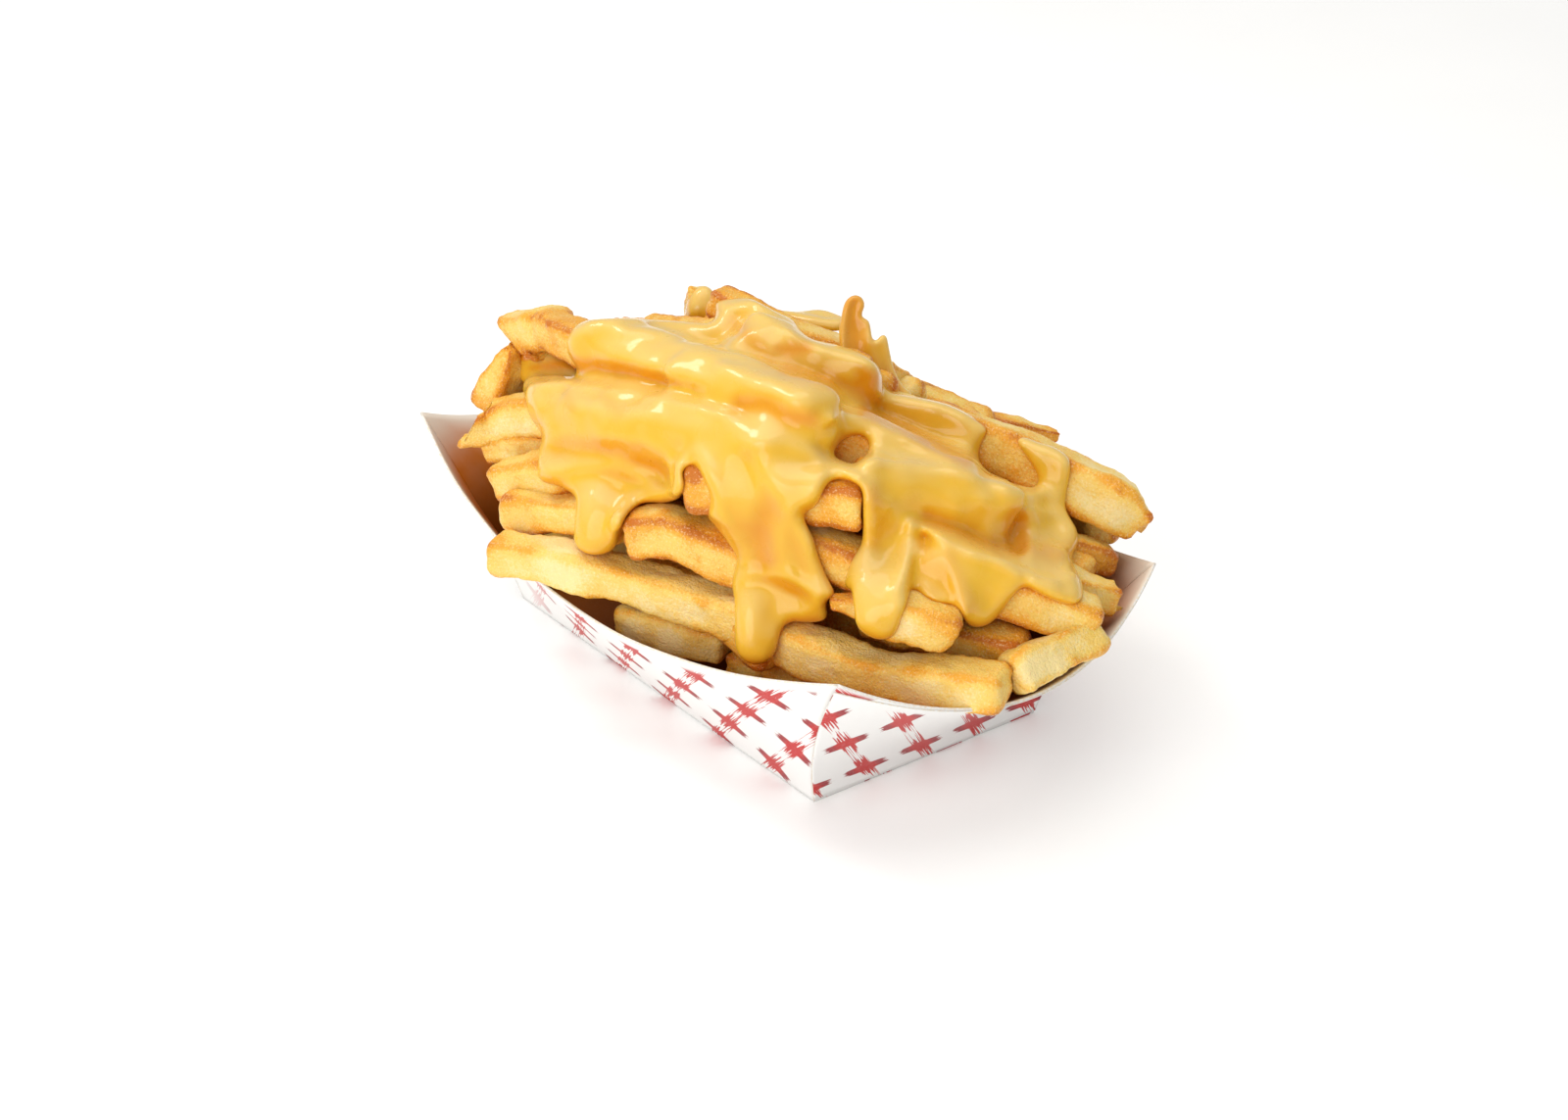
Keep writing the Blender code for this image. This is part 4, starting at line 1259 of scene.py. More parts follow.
WEDGE_SHEET = (
    (19, 42), (22.3, 39.8), (25, 38.5), (29, 37.8), (33, 37), (37, 36), (41, 34.3),
    (44.5, 32.2), (47.6, 30), (46.3, 28.5), (45, 25.5), (45.2, 22.5), (46.6, 20.6),
    (43, 19.5), (38, 20.5), (33, 23), (28, 26), (22, 29.5), (16, 33), (15, 38))
BAND = (
    (53, 28.2), (55.5, 28.3), (58.5, 27), (61.5, 26.2), (64, 24.8), (65.7, 23), (65.8, 20),
    (65, 16), (64.6, 12.3), (65.6, 9.8), (67, 7.6), (67.7, 5), (67.2, 2.8), (66.2, 1),
    (66.3, -0.8), (67.5, -3), (68.6, -5.6), (68.7, -8.3), (67.4, -10.2), (65, -10.3),
    (62, -9.4), (59, -8), (56.2, -6.4), (54, -5), (52, -3), (50, 0), (48.5, 4), (48.5, 8),
    (49.5, 12), (50.5, 15.5), (53, 17.2), (57.5, 16.8),
    (58.4, 18.2), (57.8, 20.3), (56.5, 22.3), (55, 24.5), (53.6, 26.6))
TOP_SHEET = (
    (-15.8, 59.3), (-12, 60), (-8, 60.2), (-5, 58.8), (-1, 56.6), (2, 55.2), (4, 52.5),
    (6, 50.9), (9, 50), (12, 49.4), (15, 48.6), (18, 47.2), (20.5, 45.7), (22.3, 43.8),
    (22.9, 41.6), (22.6, 39), (21, 35), (14, 33), (6, 34), (0, 37), (-6, 41), (-12, 44),
    (-18, 48), (-25, 51), (-31, 53.6), (-27, 54.3), (-22, 54.4), (-17.7, 54.4),
    (-16.2, 55), (-15.6, 57))

POURS = (
    # The main coat: left sheet, long flow, right sheet, wedge sheet, band and top sheet
    Pour(tuple(n for n in SHOWN if n not in ("left_yellow", "back_stub", "left_brown")),
         (LEFT_SHEET, LONG_FLOW, RIGHT_SHEET, WEDGE_SHEET, BAND, TOP_SHEET),
         strands=(
             Strand(((-4, -43.5, 56), (0.5, -46.5, 53), (2, -48.5, 50), (2.5, -49.3, 48)),
                    (3.0, 3.9, 4.1, 3.9)),
             Strand(((41, -35, 47), (44.5, -37.5, 43), (46, -38.6, 39.5), (46.5, -39, 37)),
                    (3.0, 3.8, 4.0, 3.7)),
             Strand(((63, -21.5, 56), (67.5, -25, 53), (70.5, -27, 49.5)),
                    (2.6, 3.4, 3.3))),
         folds=(
             # Left sheet
             Fold(((-58, 40.6), (-50, 40.8), (-40, 39.4), (-30, 37.6), (-20, 35.4),
                   (-13, 33.4)), 1.0, 1.3),
             Fold(((-54, 29.5), (-45, 28.9), (-36, 27.8), (-29, 26), (-26, 22.5)), 1.8, 0.7),
             Fold(((-53, 24.5), (-44, 25), (-36, 24.3), (-30, 21.5)), 2.0, -0.8),
             Fold(((-54, 20.3), (-47, 21.2), (-40, 21.2), (-33, 19.3), (-29, 16.5),
                   (-26, 14.8)), 1.4, 1.1),
             Fold(((-45, 17.5), (-38, 17.2), (-33, 15.6)), 0.9, 0.5),
             Fold(((-55, 37), (-54, 31)), 1.6, -0.35),
             Fold(((-49, 38), (-47, 32)), 2.0, 0.35),
             Fold(((-41, 36.5), (-40, 31)), 2.2, -0.35),
             # Long flow
             Fold(((-46, 53.4), (-38, 53.6), (-30, 52.4), (-22, 49.2), (-16, 46.2),
                   (-10, 42.2), (-4, 39.5), (2, 36.5)), 1.6, 0.8),
             Fold(((-48, 43.2), (-44, 43.6), (-36, 42.4), (-28, 40.8), (-20, 38.6)), 1.5, -1.7),
             Fold(((-40, 46.5), (-33, 45.4), (-26, 43)), 1.5, 0.6),
             Fold(((-10, 35.5), (-4, 35), (0, 32.5), (6, 31)), 2.4, -1.0),
             Fold(((-9, 27), (-2, 27.6), (5, 25.6), (12, 22.5), (17.5, 19)), 1.3, 0.9),
             Fold(((-8.3, 26.5), (-2, 26.8), (4, 25.6), (9, 23.8), (9, 18), (6, 13),
                   (2, 10.5), (-0.5, 11), (-4.5, 18.5)), 0.9, 0.9, True),
             Fold(((-9, 22), (-6, 14), (-5, 8), (-5.5, 2), (-4, -2)), 2.4, -0.9),
             Fold(((-20, 25), (-17, 19), (-15, 12), (-12.5, 6), (-9.5, 1)), 1.4, 0.6),
             Fold(((1, 10), (-1, 5), (-0.5, 0), (3, -5), (7, -8)), 1.6, 0.6),
             Fold(((-9.5, -3), (-5, -3), (0, -3.6), (6, -6.5)), 1.2, 1.2),
             Fold(((-8, -6), (-3, -6.2), (3, -8.5)), 1.4, -0.6),
             # Right sheet
             Fold(((8, 33), (14, 33.2), (20, 32.2), (28, 29), (36, 24.6), (44, 21)),
                  1.2, 0.8),
             Fold(((18.5, 22.2), (24, 22.4), (30, 21.5), (38, 20.3), (46, 18.6),
                   (51.5, 16.5)), 1.2, 1.1),
             Fold(((20, 26), (28, 25), (36, 22.2)), 1.6, -0.6),
             Fold(((19.5, 13.5), (26, 13.5), (32, 12)), 2.2, 0.5),
             Fold(((38, 14), (39.5, 12)), 1.6, 0.5),
             Fold(((46, 14), (48, 12)), 1.6, 0.5),
             Fold(((29, 8.4), (33, 6.9), (38, 4.2), (42, 2.0), (47, 0.4), (52, -1.7),
                   (54, -3)), 1.1, 1.8),
             Fold(((33, 10), (37, 8.2), (43, 5.6), (49, 3.2)), 1.5, -1.7),
             Fold(((29, 8.2), (28.3, 4), (28, 0), (27, -4), (25.5, -7)), 1.0, 1.2),
             Fold(((16, -5), (21, -3.5), (25, -2.5)), 1.3, 0.6),
             # Wedge sheet
             Fold(((20, 39.5), (24, 37.6), (32, 36.2), (40, 33.5), (46, 30.3)), 1.2, 0.7),
             Fold(((22, 34.5), (28, 31.5), (34, 28), (42, 23.5)), 1.5, -0.9),
             Fold(((46, 32), (48.5, 28), (46.5, 24), (47.5, 19)), 3.0, -1.7),
             # Band
             Fold(((56, 10.5), (60, 11), (64, 10), (66.5, 7)), 1.4, 0.9),
             Fold(((54.5, 14), (60, 13.2), (64.5, 12.5)), 1.4, -0.6),
             Fold(((58, -5.5), (63, -4.8), (67, -3.5)), 1.5, 0.9),
             Fold(((60, -8), (66, -8)), 1.5, 0.6),
             Fold(((56, 0), (62, -1), (66, 0)), 2.0, -0.6),
             Fold(((57.8, 19.5), (55.5, 23), (54.5, 26)), 1.0, 0.5),
             Fold(((50.6, 8.5), (52.8, 11.5), (55.2, 10.5), (55.6, 6), (54.8, 1.5),
                   (52.5, 1.5), (50.6, 4)), 1.2, -0.9, True),
             Fold(((57, 14), (57.5, 8), (56.5, 2), (57, -4)), 1.2, 0.7),
             # Top sheet
             Fold(((-14, 58.6), (-8, 58.4), (-2, 55), (3, 51.5), (8, 49), (14, 47.8),
                   (19, 45.5)), 1.3, 0.7),
             Fold(((-14, 51), (-9, 47.5), (-5, 45.5)), 1.2, 0.6),
             Fold(((-12, 54), (-8, 50)), 2.4, -0.5),
             Fold(((-6, 52), (-3, 48)), 1.8, 0.5),
             Fold(((-2, 49), (5, 50), (6, 47.5), (1, 46.8)), 1.2, -0.5, True),
             Fold(((17, 44), (22, 42.5), (21, 39), (17.5, 39.5)), 1.2, -0.6, True),
             Fold(((0, 43), (8, 41.5), (15, 39)), 1.6, -0.8),
             Fold(((4, 39), (9, 37.6), (14, 37.6)), 1.2, 0.6)),
         # Veils: painted shade in valleys, grooves and under overhangs, and thin sauce at the
         # small closed spots
         thin_and_shade_veils=(
             Fold(((-50, 38.5), (-48.5, 35)), 1.3, 0.3), Fold(((-41, 37.5), (-38, 34)), 1.8, 0.3),
             Fold(((-58, 44.5), (-50, 46.5), (-44, 46), (-36, 45), (-29, 42.5), (-24, 40.3),
                   (-30, 40.6), (-38, 42.2), (-48, 43.4), (-56, 43.4)), 1.3, 1.0, True),
             Fold(((-53, 25), (-44, 25.6), (-36, 24.8), (-30, 22)), 1.8, 0.35),
             Fold(((-10, 36), (-4, 35.5), (1, 33), (6, 32.4)), 2.2, 0.9),
             Fold(((-4.5, 10), (-4.5, 4), (-4, 0)), 3.0, 0.7),
             Fold(((18.6, 34), (26, 31.2), (34, 27), (42, 23)), 1.8, 0.8),
             Fold(((20, 15.5), (22, 10), (20.5, 4)), 2.2, 0.5),
             Fold(((33, 10), (37, 8.4), (43, 5.8), (49, 3.6)), 1.7, 0.9),
             Fold(((38, 1), (40, -6), (42, -11)), 2.4, 0.35),
             Fold(((50.4, 8.5), (52.6, 12), (55.6, 11), (56, 6), (55, 1), (52.3, 1),
                   (50.4, 4)), 1.2, 0.95, True),
             Fold(((57, 3), (62, 1.5), (66, 2.5)), 2.2, 0.5),
             Fold(((1, 44), (8, 42), (15, 40), (20, 37)), 2.2, 0.8),
             Fold(((-11, 54), (-7, 50), (-3, 46)), 2.2, 0.5),
             Fold(((-2, 49), (5, 50), (6, 47.5), (1, 46.8)), 1.8, 1.0, True),
             Fold(((17, 44), (22, 42.5), (21, 39), (17.5, 39.5)), 2.0, 1.0, True)),
         eases=(
             Fold(((-24, 34), (-10, 32), (0, 24), (6, 10), (14, -4), (8, -12), (-8, -12),
                   (-14, -2), (-15, 8), (-18, 20)), 3.0, 1.0, True),
             Fold(((19, 12), (29, 10), (30, 0), (27, -8), (17, -8), (15, -2)), 2.5, 1.0,
                  True),
             Fold(((33, 7), (48, 3), (55, -4), (46, -15), (39, -8)), 2.0, 0.8, True),
             Fold(((53, 14), (65, 13), (68, -2), (68, -9), (56, -6)), 2.5, 0.8, True),
             Fold(((-6, 40), (4, 40), (10, 34), (10, 27), (2, 26), (-6, 32)), 2.5, 0.8,
                  True))),
    # Thin glaze on the fry between the right sheet's lips
    Pour(("right_mid", "mid_right", "blunt_end", "glimpse"),
         (((29.5, 5), (32, 7), (35, 5), (37, 0), (39, -6), (40.5, -10), (36, -10.5),
           (31.5, -8.5), (29, -5), (29.5, 0)),),
         thin_and_shade_veils=(Fold(((31, 5), (34, 4), (36.5, -2), (38, -8), (33, -8), (30.5, -4)), 1.6,
                     0.3, True),),
         coat=0.35, sheet=0.6),
    # Coated fries at the left and at the top
    Pour(("left_yellow",),
         (((-61.5, 47.3), (-55, 48.2), (-50, 46.8), (-46.5, 43), (-48, 40), (-60, 40.5)),),
         coat=0.9),
    Pour(("back_stub",),
         (((-22.9, 52), (-22.7, 57), (-21.8, 60.4), (-20, 62.6), (-17.6, 63), (-15.4, 60),
           (-15, 53)),),
         coat=1.3),
    # Far pour, drawn from above
    Pour(("far_high", "top_under", "back_stub", "far_cross"),
         (((-53, 22), (-45, 27), (-36, 31.5), (-28, 34), (-23, 38), (-25, 43), (-33, 42.5),
           (-41, 38), (-49, 31)),),
         coat=1.1, sheet=1.4, drawn=Drawn.FROM_ABOVE),
)

# Torn strip that stands at the top, with a jagged edge
STRIP = (
    Pour((),
         (((12.8, 46), (12.8, 49), (12.6, 52.9), (13.1, 55.8), (13.8, 58.8), (14.8, 60.2),
           (16.2, 60.9), (17.7, 60.5), (18.5, 59.2), (18.5, 58), (17.9, 56.6), (18, 55.7),
           (19.4, 55.1), (19.9, 53.4), (20.2, 51.2), (20.7, 50.2), (21.4, 50.5),
           (22, 51.4), (22.9, 51.9), (23.6, 51.3), (24, 49.4), (24.5, 47), (25.2, 44.1),
           (26.5, 41.2),
           (28, 39.2), (29.4, 38.2), (27, 36), (20, 36), (14, 40)),),
         folds=(Fold(((13.7, 46), (13.7, 52), (14.2, 56), (15.4, 59.6)), 0.7, 0.7),
                Fold(((16.4, 58.5), (16.6, 52), (17.5, 46)), 1.2, -0.45),
                Fold(((19.4, 51), (20.6, 47), (22.5, 42)), 0.9, 0.4)),
         thin_and_shade_veils=(Fold(((15.8, 59.5), (16.2, 50), (19, 44), (24, 38)), 3.4, 0.85),),
         coat=1.0, sheet=1.6, rim=0.9, stands_at=(17, 20, 79)),
)


@dataclass(frozen=True)
class Chart:
    """A fine flat lattice over a drawing, on which values are worked out once."""

    low: Array
    cell: float
    size: tuple[int, int]

    @staticmethod
    def over(spots: Array, cell: float) -> "Chart":
        """A chart that holds all of some spots."""
        low = spots.min(axis=0) - 2 * cell
        size = np.ceil((spots.max(axis=0) - low) / cell).astype(int) + 3
        return Chart(low, cell, (int(size[0]), int(size[1])))

    def spots(self) -> Array:
        """The chart's own places in the drawing, one row each."""
        across, upward = np.meshgrid(
            *(self.low[i] + self.cell * np.arange(self.size[i]) for i in (0, 1)),
            indexing="ij")
        return np.stack([across.ravel(), upward.ravel()], axis=1)

    def read(self, values: Array, spots: Array) -> Array:
        """Values at spots, straight between the chart's places."""
        values = values.reshape(self.size)
        place = (spots - self.low) / self.cell
        i, j = place.astype(int).T
        s, t = (place - place.astype(int)).T
        return ((values[i, j] * (1 - s) + values[i + 1, j] * s) * (1 - t)
                + (values[i, j + 1] * (1 - s) + values[i + 1, j + 1] * s) * t)

    def blurred(self, values: Array, reach: float) -> Array:
        """Values spread to their surroundings as a bell of a reach in mm."""
        turns = [np.arange(n) * self.cell / reach for n in self.size]
        bells = [np.exp(-0.5 * (t[:, None] - t[None, :]) ** 2) for t in turns]
        return bells[0] @ values.reshape(self.size) @ bells[1]

    def grown(self, values: Array, reach: float, pick: Callable[[Array, Array], Array]
              ) -> Array:
        """Each value replaced by the one that pick prefers within a reach in mm."""
        values = values.reshape(self.size)
        for turn in range(round(reach / self.cell)):
            padded = np.pad(values, 1, mode="edge")
            shifts = [(0, 1), (2, 1), (1, 0), (1, 2)]
            if turn % 2:
                shifts += [(0, 0), (0, 2), (2, 0), (2, 2)]
            for i, j in shifts:
                values = pick(values, padded[i:i + self.size[0], j:j + self.size[1]])
        return values

    def offset(self, depths: Array, radius: float) -> Array:
        """The face that a ball of a radius touches as it rolls over the near side."""
        reach = int(radius / self.cell)
        padded = np.pad(depths.reshape(self.size), reach, mode="edge")
        best = np.full(self.size, FAR)
        for i in range(-reach, reach + 1):
            for j in range(-reach, reach + 1):
                rise = radius ** 2 - (i * i + j * j) * self.cell ** 2
                if rise >= 0:
                    near = padded[reach + i:reach + i + self.size[0],
                                  reach + j:reach + j + self.size[1]]
                    best = np.minimum(best, near - math.sqrt(rise))
        return best


@dataclass(frozen=True)
class Sight:
    """Lines of sight onto the heap, from the eye or straight down.

    A point lies at its origin plus its way times its depth. From the eye, depth is
    measured along the line to AIM, and a spot is where the line of sight crosses the plane
    through AIM that faces the eye.
    """

    drawn: Drawn
    roof: float = 200.0

    def axes(self) -> tuple[Array, Array, Array]:
        """Directions back to the eye, right and up in its view."""
        back = unit(np.array(EYE) - np.array(AIM))
        right = unit(np.cross([0.0, 0.0, 1.0], back))
        return back, right, np.cross(back, right)

    def look(self, points: Array) -> tuple[Array, Array]:
        """Spots and depths of points."""
        if self.drawn is Drawn.FROM_ABOVE:
            return points[:, :2], self.roof - points[:, 2]
        back, right, up = self.axes()
        rel = points - np.array(EYE)
        depth = -(rel @ back)
        scale = np.linalg.norm(np.array(EYE) - np.array(AIM)) / depth
        return np.stack([(rel @ right) * scale, (rel @ up) * scale], axis=1), depth

    def lines(self, spots: Array) -> tuple[Array, Array]:
        """Origins and ways of the lines of sight through spots."""
        if self.drawn is Drawn.FROM_ABOVE:
            origin = np.column_stack([spots, np.full(len(spots), self.roof)])
            return origin, np.array([[0.0, 0.0, -1.0]])
        back, right, up = self.axes()
        reach = np.linalg.norm(np.array(EYE) - np.array(AIM))
        ways = (spots[:, :1] * right + spots[:, 1:] * up) / reach - back
        return np.array([EYE]), ways


@dataclass
class SauceCoat:
    """The cheese sauce as one skin round all pours.

    A pour is worked out as a field of distances on a lattice of points. Its fries are
    blended together and grown by the coat, which is thicker at folds and near the outline,
    and draws in under each fry. A sheet joins them: along each line of sight the depth at
    which the fries are met is stretched over hollows and calmed, and the sheet lies on it.
    The field is then cut to the outline and joined with the strands, and the skin is drawn
    where it crosses zero.
    """

    low: Point = (-72.0, -58.0, 28.0)
    high: Point = (98.0, 60.0, 98.0)
    step: float = 0.65
    quick_step: float = 1.1
    strip_low: Point = (1.0, 3.0, 60.0)
    strip_high: Point = (31.0, 33.0, 94.0)
    strip_step: float = 0.36
    cell: float = 0.56
    rounding: float = 2.0
    web: float = 4.0
    stretch: float = 5.0
    ease: float = 3.6
    bridge: float = 3.0
    merge: float = 1.6
    strand_blend: float = 3.6
    reach: float = 9.0
    bead: float = 0.5
    tuck: float = 0.9
    steepest: float = 3.0
    soften: float = 0.92
    least_points: int = 400
    hollow_reach: float = 14.0
    surround: float = 4.0
    corner_blend: float = 1.5
    back_reach: float = 1.6
    sheet_blend: float = 2.0
    free_cover: float = 2.0
    free_box: tuple[Point, Point] = ((-14, -10, -22), (14, 12, 14))
    uneven: tuple[Spot, ...] = ((0.22, 13), (0.08, 6))

    def read(self, field_: Array, first: Array, step: float, points: Array) -> Array:
        """A lattice field's values at points, straight between lattice points.

        Args:
            field_: the field.
            first: its first point.
            step: its step.
            points: places in mm, one row each.

        Returns:
            One value a point, and the full reach outside the lattice.
        """
        place = (points - first) / step
        whole = np.clip(place.astype(int), 0, np.array(field_.shape) - 2)
        inside = ((place >= 0) & (place < np.array(field_.shape) - 1)).all(axis=1)
        part = place - whole
        total = np.zeros(len(points))
        for corner in np.ndindex(2, 2, 2):
            share = np.prod(np.where(corner, part, 1 - part), axis=1)
            total += share * field_[tuple((whole + corner).T)]
        return np.where(inside, total, self.reach)

    def front(self, pour: Pour, chart: Chart, solid: Array, first: Array, step: float
              ) -> Array:
        """Depth of a pour's sheet along each line of sight of its chart.

        A line of sight steps on by the distance that is left to the fries until it meets
        them. The depths are then closed: the nearest within a reach is taken everywhere,
        then the farthest within the same reach, which bridges hollows. The rest is filled
        from its surroundings. At an ease, the nearest depths within a bridge's reach are
        taken and calmed further.

        Args:
            pour: the pour.
            chart: the chart.
            solid: distance to the pour's fries.
            first: the lattice's first point.
            step: the lattice step.

        Returns:
            The depths on the chart.
        """
        sight = Sight(pour.drawn)
        if pour.stands_at:
            return np.full(chart.size, sight.look(np.array([pour.stands_at]))[1][0])
        origin, ways = sight.lines(chart.spots())
        size = (np.array(solid.shape) - 1) * step
        corners = first + size * np.array(list(np.ndindex(2, 2, 2)))
        ends = sight.look(corners)[1]
        depth = np.full(len(ways) if len(ways) > 1 else len(origin), ends.min())
        for _ in range(60):
            gap = self.read(solid, first, step, origin + ways * depth[:, None])
            depth = np.minimum(depth + 0.9 * gap, ends.max() + 5)
        hidden = 1e4
        depth = np.where(np.abs(gap) < 0.4, depth, hidden)
        depth = chart.grown(depth, self.stretch, np.minimum)
        depth = chart.grown(depth, self.stretch, np.maximum)
        found = (depth < hidden / 2).astype(float)
        depth = np.where(found > 0, depth, 0)
        ahead = chart.grown(np.where(found > 0, depth, hidden), self.bridge, np.minimum)
        ahead = np.where(found > 0, ahead, 0)
        near, wide = (chart.blurred(values * found, s)
                      / np.maximum(chart.blurred(found, s), 1e-6)
                      for values, s in ((depth, pour.calm), (ahead, self.ease)))
        spots = chart.spots()
        ease = sum((f.lift(spots) for f in pour.eases), np.zeros(len(spots)))
        ease = np.clip(ease, 0, 1).reshape(chart.size)
        ease = np.where(found > 0, ease, 1)
        return near * (1 - ease) + wide * ease

    def coated(self, box: Array, pour: Pour, step: float, fries: dict[str, Fry]
               ) -> tuple[Array, Array]:
        """A pour's own field.

        Args:
            box: the lattice points of its box.
            pour: the pour.
            step: lattice step in mm.
            fries: all fries by name.

        Returns:
            Distance to the pour's skin and distance to its fries.
        """
        points = box.reshape(-1, 3)
        spots, depth = Sight(pour.drawn).look(points)
        loops = [rounded_loop(line) for line in pour.outlines]
        seen = within_box(spots, np.concatenate(loops), self.surround)
        solid = np.full(len(points), self.reach, np.float32)
        for fry in (fries[name] for name in pour.over):
            size = max(fry.width, fry.height) / 2 + self.reach
            near = within_box(points, fry.line(), size) & seen
            gap = fry.distance(points[near], self.rounding)
            solid[near] = soft_min(solid[near], gap, self.web)
        skin = np.full(len(points), self.reach, np.float32)
        skin[seen] = self.covered(pour, spots, depth, loops, solid, seen, box, step)
        for strand in pour.strands:
            near = within_box(points, np.array(strand.path), max(strand.radii) + self.reach)
            skin[near] = soft_min(skin[near], strand.distance(points[near]),
                                  self.strand_blend)
        return skin, solid if pour.over else skin + self.free_cover

    def covered(self, pour: Pour, spots: Array, depth: Array, loops: list[Array],
                solid: Array, seen: Array, box: Array, step: float) -> Array:
        """Distance to a pour's coat and sheet within its outline, without its strands.

        Args:
            pour: the pour.
            spots: where its box's lattice points lie in the drawing.
            depth: their depths.
            loops: the outlines.
            solid: their distances to the fries.
            seen: which of them lie in or near the outline.
            box: the lattice points in their own order.
            step: lattice step in mm.

        Returns:
            One distance for each seen point.
        """
        solid = solid.reshape(box.shape[:3])
        slopes = np.gradient(solid, step)
        steep = slopes[2] / np.maximum(np.sqrt(sum(s * s for s in slopes)), 1e-3)
        facing = np.clip((steep.ravel()[seen] + 0.75) / 0.55, 0, 1)
        points, spots, depth = box.reshape(-1, 3)[seen], spots[seen], depth[seen]
        chart = Chart.over(spots, self.cell)
        drawn = chart.spots()
        border = np.full(len(drawn), FAR)
        for loop in loops:
            border = soft_min(border, line_distance(drawn, loop, True), self.corner_blend)
        lift = sum((f.lift(drawn) for f in pour.folds), np.zeros(len(drawn)))
        lift = lift + self.bead * np.exp(-((border / pour.rim + 0.85) / 0.62) ** 2)
        front = self.front(pour, chart, solid, box[0, 0, 0], step)
        face = chart.offset(front, pour.coat)
        back = chart.grown(front, self.back_reach, np.maximum) + pour.sheet
        slope = np.hypot(*np.gradient(face, self.cell))
        border, lift, face, back, slope = (chart.read(v, spots) for v in
                                           (border, lift, face, back, slope))
        lift = lift + unevenness(points, self.uneven, 7)
        lean = np.sqrt(1 + np.minimum(slope, self.steepest) ** 2)
        skin = solid.ravel()[seen] - (pour.coat + lift) * facing + self.tuck * (1 - facing)
        sheet = np.maximum((face - depth) / lean - lift, (depth - back) / lean)
        return soft_max(soft_min(skin, sheet, self.sheet_blend), border, pour.rim)

    def field(self, pours: tuple[Pour, ...], low: Array, high: Array, step: float,
              fries: dict[str, Fry]) -> tuple[Array, Array]:
        """The field of some pours together.

        Args:
            pours: the pours.
            low: the lattice's first point.
            high: a point at or before its last one.
            step: lattice step in mm.
            fries: all fries by name.

        Returns:
            Distance to the sauce's skin and distance to the coated fries.
        """
        size = np.ceil((high - low) / step).astype(int) + 1
        whole = np.full(size, self.reach, np.float32)
        bare = np.full(size, self.reach, np.float32)
        for number, pour in enumerate(pours):
            lines = [fries[n].line() for n in pour.over]
            lines += [np.array(s.path) for s in pour.strands]
            if pour.stands_at:
                lines += [np.array([pour.stands_at]) + self.free_box]
            first = np.min([p.min(0) for p in lines], axis=0) - self.reach
            last = np.max([p.max(0) for p in lines], axis=0) + self.reach
            start = np.clip(np.floor((first - low) / step).astype(int), 1, size - 2)
            stop = np.clip(np.ceil((last - low) / step).astype(int), 2, size - 1)
            axes = [low[i] + step * np.arange(start[i], stop[i]) for i in range(3)]
            box = np.stack(np.meshgrid(*axes, indexing="ij"), axis=3).astype(np.float32)
            skin, solid = self.coated(box, pour, step, fries)
            part = tuple(slice(a, b) for a, b in zip(start, stop))
            whole[part] = soft_min(whole[part], skin.reshape(box.shape[:3]), self.merge)
            bare[part] = np.minimum(bare[part], solid.reshape(box.shape[:3]))
            LOG.info("pour %d: %d lattice points", number, len(skin))
        return self.softened(whole), bare

    def softened(self, field_: Array) -> Array:
        """A field spread a little to its surroundings, which rounds creases."""
        for axis, count in enumerate(field_.shape):
            turns = np.arange(count) / self.soften
            bell = np.exp(-0.5 * (turns[:, None] - turns[None, :]) ** 2)
            bell = (bell / bell.sum(axis=1, keepdims=True)).astype(np.float32)
            field_ = np.moveaxis(np.tensordot(bell, field_, axes=(1, axis)), 0, axis)
        return field_

    def crossings(self, values: Array) -> tuple[Array, Array]:
        """One point in each lattice cell that a field crosses zero in.

        A cell's point is the mean of the places where its edges cross zero.

        Args:
            values: the field.

        Returns:
            The points, in lattice steps, and each cell's point number.
        """
        inside = values < 0
        cells = tuple(n - 1 for n in values.shape)
        total = np.zeros((*cells, 3), np.float32)
        count = np.zeros(cells, np.float32)

        def at(grid: Array, shift: tuple[int, ...]) -> Array:
            """The grid's value at one corner of every cell."""
            return grid[tuple(slice(s, s + n) for s, n in zip(shift, cells))]

        for a in np.ndindex(2, 2, 2):
            for axis in (i for i in range(3) if not a[i]):
                b = tuple(v + (i == axis) for i, v in enumerate(a))
                va, vb = at(values, a), at(values, b)
                crosses = at(inside, a) != at(inside, b)
                share = np.where(crosses, va / np.where(crosses, va - vb, 1), 0)
                for i in range(3):
                    total[..., i] += crosses * (a[i] + (share if i == axis else 0))
                count += crosses
        active = count > 0
        number = np.full(cells, -1)
        number[active] = np.arange(active.sum())
        return np.argwhere(active) + total[active] / count[active][:, None], number

    def facets(self, inside: Array, number: Array) -> Array:
        """Joins the points of the four cells round each lattice edge that crosses zero.

        Args:
            inside: which lattice points lie inside.
            number: each cell's point number.

        Returns:
            The faces, all turned the same way.
        """
        faces = []
        for axis in range(3):
            ahead = tuple(slice(1 if i == axis else 0, None) for i in range(3))
            here = tuple(slice(0, -1 if i == axis else None) for i in range(3))
            crossed = np.argwhere(inside[here] != inside[ahead])
            others = [i for i in range(3) if i != axis]
            ring = []
            for back in ((0, 0), (1, 0), (1, 1), (0, 1)):
                cell = crossed.copy()
                cell[:, others] -= back
                ring.append(number[tuple(cell.T)])
            quad = np.stack(ring, axis=1)
            flip = inside[here][tuple(crossed.T)] ^ (axis == 1)
            faces.append(np.where(flip[:, None], quad[:, ::-1], quad))
        return np.concatenate(faces)

